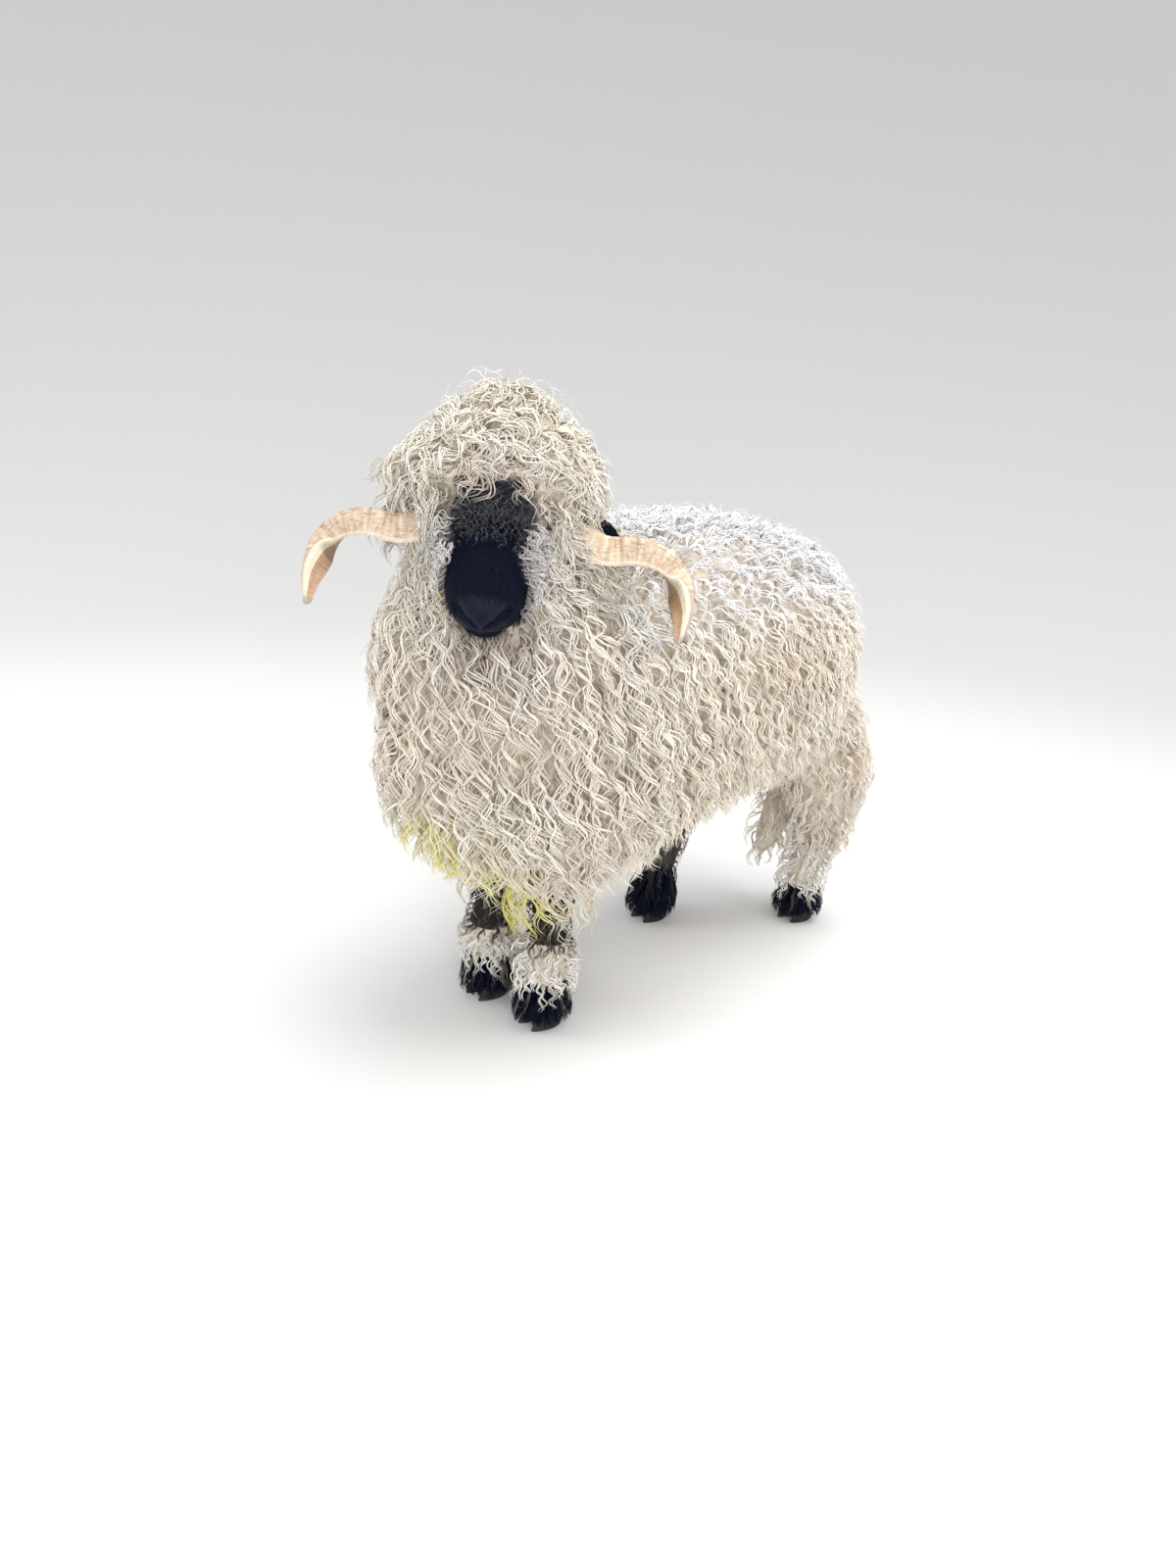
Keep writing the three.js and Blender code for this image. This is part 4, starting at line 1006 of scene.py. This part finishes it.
def build_claw(name, x, y, side):
    bm = bmesh.new()
    run = bm.verts.layers.float_vector.new("fibre")

    def toe_shaped(v):
        ahead, out = v.co.x, v.co.y
        narrow = 1 - 0.42 * max(0, ahead) ** 2
        v.co.x = ahead * (CLAW_FRONT if ahead > 0 else CLAW_BACK)
        v.co.y = out * CLAW_HALF_WIDTH * narrow * (1 if out * side > 0 else 0.86)

    places = [
        section_matrix(place(x - set_back, y + side * CLAW_OFFSET, rise * CLAW_HEIGHT),
                       FORWARD, LEFT, size * MM, size * MM)
        for rise, size, set_back in CLAW_STEPS
    ]
    for ring, (rise, *rest) in zip(swept(bm, CLAW_SIDES, toe_shaped, places), CLAW_STEPS):
        for v in ring:
            v[run] = Vector((0, rise * CLAW_HEIGHT, 0))
    claw = finished(bm, name)
    smooth_sides(claw)
    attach(claw, "root")
    return claw


claws = []
for leg, (x, y) in FEET.items():
    for side_name, side in (("left", 1), ("right", -1)):
        claw = build_claw(f"{leg}_hoof_{side_name}", x, y, side)
        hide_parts(f"{leg}_claw_{side_name}")
        claws.append(claw)

# %% [markdown]
# ## Eyes
# A sheep's eye is an amber globe with a level, slot-shaped pupil, and it sits deep between its
# lids under the fringe. Each is a fine sphere with a low bulge for the cornea. Every vertex keeps
# its place seen from the front of the eye, so the finish can draw the iris and pupil.

# %% Build the eyes
EYE_SEGMENTS = 48
CORNEA_RISE = 0.07

eyes = []
for side_name, sign in (("left", 1), ("right", -1)):
    along, across, out = eye_axes(sign)
    level = UP.cross(out).normalized()
    centre = on_head(*mirrored(EYE_PLACE, sign))
    bm = bmesh.new()
    gaze = bm.verts.layers.float_vector.new("fibre")
    globe = bmesh.ops.create_uvsphere(bm, u_segments=EYE_SEGMENTS, v_segments=32, radius=1)["verts"]
    turned = Matrix((level, out.cross(level), out)).transposed()
    for v in globe:
        v[gaze] = v.co * EYE_RADIUS
        rise = 1 + CORNEA_RISE * rising(np.array(v.co.z), 0.7, 0.95)
        v.co = centre + turned @ (v.co * float(rise) * EYE_RADIUS * MM)
    eye = finished(bm, f"eye_{side_name}_globe")
    eye.data.shade_smooth()
    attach(eye, "root")
    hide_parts(f"eye_{side_name}")
    eyes.append(eye)


# %% [markdown]
# ## Laying the fleece
# The fleece is laid region by region. The skin below is finished as the deep wool between the
# locks. The waved strands lie over it, and a few thin ones lie on top, painted paler than the
# rest as painted highlights on the outermost curls. Each region has its own length, depth and wave.

# %% Which way the wool lies
place_of = regions(middles, facing)
CROWN = on_head(-50, 0, 110)


def body_lie(at):
    """Down and a little back, and any way along the spine."""
    on_back = rising((at[:, 2] - ORIGIN.z) / MM, 640, 800)
    lie = np.zeros_like(at)
    lie[:, 0] = -0.12 + rng.normal(0, 1, len(at)) * (0.14 + 0.5 * on_back)
    aside = (at[:, 1] - ORIGIN.y) / MM - MIDDLE
    lie[:, 1] = np.clip(aside / 60, -1, 1) * 0.5 + rng.normal(0, 0.2, len(at))
    lie[:, 2] = -1
    return lie


def head_lie(at):
    """Away from the crown, and to both sides where it would fall over the face."""
    head = head_coordinates(at)
    lie = unit(at - np.array(CROWN)) * 0.8
    over_face = rising(head[:, 0], 60, 110) * rising(70 - np.abs(head[:, 1]), 0, 40)
    side = np.clip((head[:, 1] + 8) / 36, -1, 1)
    lie += (over_face * side * 1.3)[:, None] * np.array(head_left)
    lie += rng.normal(0, 0.35, lie.shape)
    return lie + np.array([0, 0, -0.25])


def horn_lie(at):
    """Outwards over the root of the left horn."""
    return np.tile(np.array(head_left) + np.array(head_forward) * 0.4 + np.array([0, 0, -0.8]), (len(at), 1))


def cheek_lie(at):
    side = np.sign(face_coordinates(at)[:, 1:2])
    return np.array(face_down) + side * np.array(head_left) * 0.35 + np.array([0, 0, -0.5])


def brow_lie(at):
    """To both sides over the forehead, and a little forward."""
    side = np.clip(face_coordinates(at)[:, 1:2] / 25, -1, 1)
    swept = side * np.array(head_left) + 0.1 * np.array(face_down)
    return swept + rng.normal(0, 0.5, at.shape)


def face_lie(at):
    return np.tile(np.array(face_down), (len(at), 1))


def leg_lie(at):
    return np.tile((0.0, 0.0, -1.0), (len(at), 1))


def ear_lie(at):
    side = np.sign(head_coordinates(at)[:, 1:2])
    return np.array(head_left) * side - np.array(head_up) * 0.4 - np.array(head_forward) * 0.4


# %% Lay one kind of lock over one region
FLOOR_CLEAR = 4


def grow(name, where, lie, spacing, length, depth, per_lock, width, spread, wave, swing,
         colour=marking, tint=0.06, wander=0.6, weight=0.6, slot="wool", root=ROOT_SHADE, **shape):
    """Locks over one region, with all sizes in millimetres."""
    at, outward, flat = scattered(where.astype(float), spacing)
    lengths = length * rng.uniform(0.75, 1.25, len(at))
    lengths = np.minimum(lengths, at[:, 2] / MM - FLOOR_CLEAR)
    depths = depth * rng.uniform(0.8, 1.12, len(at))
    paths, ups = walked(at, outward, lie(at), lengths, depths, wander, weight)
    made = Strands(paths, ups, per_lock, width, spread, wave, swing, **shape)
    tints = 1 + tint * rng.normal(0, 1, len(at)).clip(-2, 1.2)
    tuft_mesh(name, made, colour(at, outward) * tints[:, None], flat, root)


# Strands painted paler than the wool they lie on: painted highlights on the outermost curls and flyaway
# fibres.
def painted_highlight(at, outward):
    return towards(marking(at, outward), PALE, np.full(len(at), 0.7)) * 1.03


def plain_wool(at, outward):
    """The colour of wool that hangs from beside the face, a little soiled round the muzzle."""
    colours = marking(at, outward)
    dark = colours.max(axis=1) < 0.5
    colours[dark] = np.array(BEIGE) * 0.85
    spot = face_coordinates(at)
    spot[:, 1] = np.abs(spot[:, 1])
    beside = distance_to_line(spot, [(40, 74, -74), (0, 66, -96), (-8, 0, -112)])
    colours = towards(colours, GREY, 0.45 * bump(beside, 26))
    cool = distance_to_line(spot, [(110, 92, -66), (40, 92, -84)])
    return towards(colours, COOL, 0.75 * bump(cool, 34))


def cheek_colours(at, outward):
    """Cool white curls, greyer where they leave the black of the face."""
    spot = face_coordinates(at)
    colours = towards(marking(at, outward), COOL, np.full(len(at), 1.0))
    colours = towards(colours, GREY, 0.5 * rising(30 - spot[:, 0], 0, 40))
    return towards(colours, GREY, 0.7 * rising(58 - np.abs(spot[:, 1]), 0, 26))


def brow_colours(at, outward):
    high = rising(face_coordinates(at)[:, 0], 100, 160)
    return towards(marking(at, outward), GREY, high * rng.uniform(0.05, 0.5, len(at)))


def fringe_colours(at, outward):
    return towards(plain_wool(at, outward), CREAM, np.full(len(at), 0.55))


# %% Choose the regions
MASKS = ("black", "grey", "ears", "foot", "ring", "knee", "near_head", "tail", "chest", "back", "thigh")
black, grey, ears, foot, ring, knee, head, tail, chest, back, thigh = (
    place_of[name] > 0.5 for name in MASKS)
face_place, head_place = place_of["face"], place_of["head"]
grey &= ~black
bare = black | grey | ears | foot | ring | knee
head &= ~bare
tail &= ~bare
body = ~head & ~bare & ~tail
chest &= body
back &= body & ~chest
rump = body & (place_of["x"] < -370) & (place_of["z"] > 660)
spine = back & (np.abs(place_of["y"] - MIDDLE) < 32)
thigh &= body & ~chest & ~back
flank = body & ~chest & ~back & ~thigh
left_side = middles[:, 1] > ORIGIN.y + MIDDLE * MM
brow = black & (face_place[:, 0] + rng.normal(0, 9, len(middles)) > 100)
hairy = black & (wetness(middles) < 0.3)
throat = body & (away_from(face_place, (70, 0, -140)) < 115)
cheeks = face_place[:, 0] < 128
ear_gap = away_from(head_place, (-34, 108, -20)) < 34
horn_cover = (head | body) & (away_from(head_place, (-12, 116, -60)) < 46)
ear_cover = head & (away_from(head_place, (-30, -112, 8)) < 52)
parting = head & (np.abs(head_place[:, 1]) < 40) & (head_place[:, 0] > 30)
crown = head & (away_from(middles, CROWN) < 70 * MM)
fringe = head & (face_place[:, 0] < 226) & (np.abs(face_place[:, 1]) < 75) & (head_place[:, 0] > 60)

# %% Lay the wool of the body
# The numbers of each lock are its spacing, length, depth, count of strands, and then the width,
# spread, wave length and swing of the strands.
grow("locks_chest", chest, body_lie, 23, 112, 40, 4, 5.5, 10, 60, 10, loose=0.35, colour=plain_wool)
grow("locks_back", back, body_lie, 18.5, 44, 32, 3, 5, 8, 34, 6.5, wander=1.8, loose=0.9)
grow("locks_flank_left", flank & left_side, body_lie, 18.5, 62, 33, 4, 5, 9, 40, 5.5, wander=0.8)
grow("locks_flank_right", flank & ~left_side, body_lie, 18.5, 62, 33, 4, 5, 9, 40, 5.5, wander=0.8)
grow("locks_thighs", thigh, body_lie, 19, 60, 26, 4, 5, 9, 38, 5.5, wander=0.8)
grow("locks_tail", tail, leg_lie, 20, 66, 21, 4, 4.6, 9, 42, 5.5)
grow("locks_rump", rump, body_lie, 13, 46, 28, 3, 4.8, 8, 36, 6, wander=2.0, loose=0.9)
grow("locks_spine", spine, body_lie, 21, 46, 20, 2, 5.6, 9, 40, 7, wander=2.4, loose=0.9)
grow("locks_throat", throat, body_lie, 11, 56, 22, 3, 4, 7, 36, 5.5, colour=plain_wool, wander=1.4)
grow("bright_chest", chest, body_lie, 34, 120, 47, 2, 3.4, 5, 56, 11, colour=painted_highlight, loose=0.3)
grow("bright_flank", flank | thigh | back, body_lie, 41, 56, 36, 2, 2.8, 6, 38, 6, colour=painted_highlight,
     wander=1.0)
grow("fuzz_body", body, body_lie, 28, 46, 42, 1, 1.8, 0, 36, 5, colour=painted_highlight, wander=2.4, rings=7)

# %% Lay the wool of the head
grow("locks_head", head & ~fringe & ~ear_gap & ~crown, head_lie, 16.5, 74, 27, 4, 4.8, 10, 50, 9.5,
     wander=1.1, weight=0.25, colour=plain_wool, rings=12)
grow("locks_ear_cover", ear_cover, head_lie, 12, 84, 40, 4, 4.8, 9, 46, 8, weight=0.6)
grow("locks_horn_cover", horn_cover, horn_lie, 12, 62, 44, 4, 4.4, 9, 42, 8, wander=1.2,
     colour=plain_wool)
grow("locks_fringe", fringe, brow_lie, 10, 30, 19, 3, 3.6, 7, 32, 5, wander=1.2, weight=0, rings=12,
     colour=fringe_colours)
grow("locks_parting", parting, head_lie, 11, 52, 20, 3, 4.4, 8, 40, 8, wander=2.0, weight=0.1)
grow("locks_crown", crown, head_lie, 11, 54, 14, 3, 4.4, 9, 40, 8, wander=2.0, weight=0.1)
grow("bright_head", head & ~ear_gap & ~fringe & ~crown, head_lie, 24, 80, 34, 2, 2.8, 8, 46, 10,
     colour=painted_highlight, wander=1.3, weight=0.25)
grow("fuzz_head", head & ~ear_gap, head_lie, 16, 50, 34, 1, 1.8, 0, 36, 6, colour=painted_highlight,
     wander=2.6, weight=0.1, rings=10)
grow("curls_cheeks", grey & cheeks, cheek_lie, 7, 40, 17, 2, 2.4, 6, 22, 5.5, weight=0.1, tint=0.12,
     wander=3.2, loose=1.5, colour=cheek_colours, root=(0.6, 0.57, 0.57), rings=16)
grow("fuzz_brow", brow, face_lie, 5, 16, 6, 2, 1.7, 3, 16, 3, wander=1.8, weight=0, tint=0.2,
     colour=brow_colours, rings=6)

# %% Lay the wool and hair of the legs, feet, face and ears
grow("locks_bands", ring, leg_lie, 13, 40, 19, 3, 4.2, 7, 24, 4.5, wander=1.2)
grow("locks_knees", knee, leg_lie, 15, 30, 9, 3, 3.2, 6, 26, 3, wander=1.4, rings=8)
grow("hair_feet", foot, leg_lie, 10, 84, 15, 4, 3.5, 7, 60, 3, wander=0.7, slot="black_hair", rings=5)
grow("hair_face", hairy, face_lie, 4.5, 13, 1.4, 1, 2, 0, 30, 0.4, weight=0, wander=0.4,
     slot="black_hair", rings=4)
grow("hair_ears", ears, ear_lie, 7, 14, 2, 1, 2.4, 0, 30, 0.5, weight=0, wander=0.4,
     slot="black_hair", rings=4)

# %% A few straws beside the muzzle and dark hairs under the chin
def single_hairs(name, spots, length, depth, width, wave, colour):
    """Hairs laid one by one from places on the face: back, left, out."""
    found = [tree.find_nearest(on_face(*spot)) for spot in spots]
    at, outward = (np.array([hit[part][:] for hit in found]) for part in (0, 1))
    nearest = [np.linalg.norm(middles - spot, axis=1).argmin() for spot in at]
    count = len(spots)
    paths, ups = walked(at, outward, leg_lie(at), np.full(count, length), np.full(count, depth), 1.2)
    made = Strands(paths, ups, 1, width, 0, wave, 4, rings=16)
    tuft_mesh(name, made, np.tile(np.array(colour), (count, 1)), corner_hide[nearest].mean(axis=1))


STRAWS = [(38, -60, -60), (32, -66, -64), (24, -58, -68), (32, 72, -62), (40, 66, -58)]
CHIN_HAIRS = [(14, -12, -100), (20, -4, -100), (12, 16, -98)]
single_hairs("straws", STRAWS, 56, 30, 1.9, 60, STRAW)
single_hairs("hairs_chin", CHIN_HAIRS, 34, 16, 2.4, 16, DARK_GREY)
print("coat:", sum(triangles.values()), "triangles")

# %% [markdown]
# ## Wool and hair
# A fleece looks soft because light goes into it and comes out again a little further on. The wool
# finish is matt, with a little sheen. Fine fibres are drawn along each strand as streaks
# of colour and small ridges, from the length and width that every strand carries.

# %% A short way to join shader nodes
class Finish:
    """One material. Its methods add a node each and give back the node's result."""

    def __init__(self, name):
        self.material = bpy.data.materials.new(name)
        self.material.use_nodes = True
        self.tree = self.material.node_tree

    def put(self, socket, value):
        """Links a node's result to a socket, or sets a plain value on the socket itself."""
        if isinstance(value, bpy.types.NodeSocket):
            self.tree.links.new(value, socket)
        else:
            socket.default_value = (*value, 1) if socket.type == "RGBA" else value

    def node(self, kind, inputs, result=0, **settings):
        made = self.tree.nodes.new("ShaderNode" + kind)
        for key, value in settings.items():
            setattr(made, key, value)
        for socket, value in inputs.items():
            self.put(made.inputs[socket], value)
        return made.outputs[result]

    def wear(self, **inputs):
        """Values for the surface itself, and the material, ready to use."""
        sockets = self.tree.nodes["Principled BSDF"].inputs
        for name, value in inputs.items():
            self.put(sockets[SURFACE[name]], value)
        return self.material

    def stored(self, name, result="Vector"):
        return self.node("Attribute", {}, result, attribute_name=name)

    def place_in_object(self):
        return self.node("TexCoord", {}, "Object")

    def times(self, colour, factor):
        return self.node("VectorMath", {0: colour, "Scale": factor}, operation="SCALE")

    def spread(self, value, low, high, start=0.3, end=0.7):
        """A value stretched to run from low to high."""
        limits = {"From Min": start, "From Max": end, "To Min": low, "To Max": high}
        return self.node("MapRange", {"Value": value, **limits})

    def worked_out(self, operation, *values):
        return self.node("Math", dict(enumerate(values)), operation=operation)

    def stretched(self, vector, *scale):
        return self.node("Mapping", {"Vector": vector, "Scale": scale})

    def noise(self, vector, scale=1, detail=2, rough=0.5):
        inputs = {"Vector": vector, "Scale": scale, "Detail": detail, "Roughness": rough}
        return self.node("TexNoise", inputs)

    def mixed(self, share, first, second):
        factor, first_colour, second_colour, result = 0, 6, 7, 2
        inputs = {factor: share, first_colour: first, second_colour: second}
        return self.node("Mix", inputs, result, data_type="RGBA")

    def bumped(self, height, strength, distance):
        return self.node("Bump", {"Strength": strength, "Distance": distance, "Height": height})

    def shades(self, value, *stops):
        colour = self.node("ValToRGB", {"Fac": value})
        ramp = colour.node.color_ramp
        while len(ramp.elements) < len(stops):
            ramp.elements.new(0.5)
        for element, (position, shade) in zip(ramp.elements, stops):
            element.position = position
            element.color = (*shade, 1)
        return colour


SURFACE = {
    "colour": "Base Color", "normal": "Normal", "roughness": "Roughness",
    "gloss": "Specular IOR Level", "sheen": "Sheen Weight", "sheen_roughness": "Sheen Roughness",
    "coat": "Coat Weight",
}

# %% Wool and black hair
CRIMP_LENGTH, CRIMP = 14, 0.9


def fibres(finish, width, length):
    """Noise drawn out along the strand, for crimped fibres of a size in millimetres."""
    parts = finish.node("SeparateXYZ", {0: finish.stored("fibre")}).node.outputs
    turn = finish.worked_out("MULTIPLY_ADD", parts["Y"], 2 * math.pi / CRIMP_LENGTH, parts["Z"])
    aside = finish.worked_out("MULTIPLY_ADD", finish.worked_out("SINE", turn), CRIMP, parts["X"])
    moved = finish.node("CombineXYZ", {"X": aside, "Y": parts["Y"], "Z": parts["Z"]})
    return finish.noise(finish.stretched(moved, 1 / width, 1 / length, 1), detail=1)


def coat_finish(name, width, length, contrast, roughness, sheen, gloss=0.3):
    finish = Finish(name)
    grain = fibres(finish, width, length)
    factor = finish.spread(grain, 1 - contrast, 1 + contrast * 0.6)
    return finish.wear(
        colour=finish.times(finish.stored("marking", "Color"), factor),
        normal=finish.bumped(grain, 0.7, 0.0008),
        roughness=roughness, gloss=gloss, sheen=sheen, sheen_roughness=0.4)


wool = coat_finish("wool", 1.2, 18, 0.2, 0.8, 0.3)
black_hair = coat_finish("black_hair", 0.8, 12, 0.3, 0.6, 0, 0.15)
for piece in coat:
    piece.data.materials.append(black_hair if piece.name.startswith("hair") else wool)

# %% Skin, horn, hoof and eye
def skin_finish():
    """Deep wool between the locks in painted shade: darker, warmer and mottled; a fine grain on the black
    face, and a moist nose.
    """
    finish = Finish("skin")
    place_in = finish.place_in_object()
    colour = finish.stored("marking", "Color")
    wet = finish.stored("wet", "Fac")
    curls = finish.noise(place_in, 110, 5, 0.65)
    pores = finish.noise(place_in, 900, 3, 0.6)
    light = finish.node("RGBToBW", {"Color": colour})
    woolly = finish.spread(light, 0, 1, 0.06, 0.3)
    # Light-coloured skin is painted darker, warmer and mottled: painted shade of the deep wool between the
    # locks.
    deep = finish.mixed(woolly, colour, DEEP_WOOL_SHADE)
    shaded_deep_wool = finish.times(deep, finish.spread(curls, 0.62, 1.12))
    return finish.wear(
        colour=finish.mixed(woolly, colour, shaded_deep_wool),
        normal=finish.bumped(finish.mixed(woolly, pores, curls), 0.9, 0.0022),
        roughness=finish.spread(wet, 0.62, 0.14, 0, 1),
        gloss=finish.spread(wet, 0.1, 0.2, 0, 1))


def horn_finish():
    """Straw-coloured horn: cross bars, reddish streaks, a painted highlight on the keel, and a brown inner
    face partly in painted shade.
    """
    finish = Finish("horn")
    fibre = finish.stored("fibre")
    parts = finish.node("SeparateXYZ", {0: fibre}).node.outputs
    flat = finish.stretched(fibre, 1, 1, 0)
    bars = finish.noise(finish.stretched(flat, 0.5, 0.2, 1), 1, 3, 0.6)
    coloured = finish.shades(
        bars, (0.3, tone(168, 140, 118)), (0.45, tone(194, 172, 148)),
        (0.6, tone(210, 194, 172)), (0.75, tone(224, 214, 196)))
    streak = finish.noise(finish.stretched(flat, 6, 0.07, 1), 1, 4, 0.65)
    dark = finish.spread(streak, 0, 0.75, 0.5, 0.66)
    coloured = finish.mixed(dark, coloured, tone(150, 100, 78))
    # A painted highlight along the rounded keel; the hollow inner face is painted brown, partly the horn's
    # own colour and partly painted shade.
    for middle, reach, shade in ((128, 44, tone(158, 112, 76)), (66, 17, tone(228, 220, 198))):
        face = finish.worked_out("COMPARE", parts["X"], math.radians(middle), math.radians(reach))
        coloured = finish.mixed(finish.worked_out("MULTIPLY", face, 0.6), coloured, shade)
    tip = finish.spread(parts["Z"], 0, 0.8, 0.9, 0.96)
    return finish.wear(
        colour=finish.mixed(tip, coloured, tone(150, 138, 128)),
        normal=finish.bumped(streak, 0.45, 0.0008), roughness=0.48)


def hoof_finish():
    """Nearly black horn with faint rings, and a little dried mud."""
    finish = Finish("hoof")
    rings = finish.noise(finish.stretched(finish.stored("fibre"), 0.2, 0.5, 0.2))
    mud = finish.noise(finish.place_in_object(), 70, 4, 0.6)
    base = finish.shades(rings, (0.35, tone(24, 22, 23)), (0.65, tone(46, 41, 38)))
    share = finish.spread(mud, 0, 0.2, 0.5, 0.7)
    return finish.wear(
        colour=finish.mixed(share, base, tone(92, 76, 60)),
        normal=finish.bumped(rings, 0.4, 0.0006), roughness=0.5)


def eye_finish():
    """A rayed amber iris with a dark rim and a level slot of a pupil, under a moist gloss."""
    finish = Finish("eye")
    seen = finish.stored("fibre")

    def from_middle(half_width, half_height):
        oval = finish.stretched(seen, 1 / half_width, 1 / half_height, 0)
        return finish.node("VectorMath", {0: oval}, "Value", operation="LENGTH")

    rays = finish.noise(finish.stretched(seen, 0.9, 0.9, 0.9), 1, 4, 0.7)
    amber = finish.shades(rays, (0.35, tone(96, 58, 24)), (0.65, tone(176, 118, 52)))
    rim = finish.spread(from_middle(9.5, 9.5), 0, 1, 0.86, 1.0)
    pupil = finish.spread(from_middle(6.5, 2.6), 1, 0, 0.9, 1.05)
    outside = finish.mixed(rim, amber, tone(38, 24, 18))
    return finish.wear(colour=finish.mixed(pupil, outside, tone(8, 7, 8)), roughness=0.08, coat=1.0)


skin.data.materials.clear()
dressed = ((horns, horn_finish()), (claws, hoof_finish()), (eyes, eye_finish()), ([skin], skin_finish()))
for pieces, finish in dressed:
    for piece in pieces:
        piece.data.materials.append(finish)
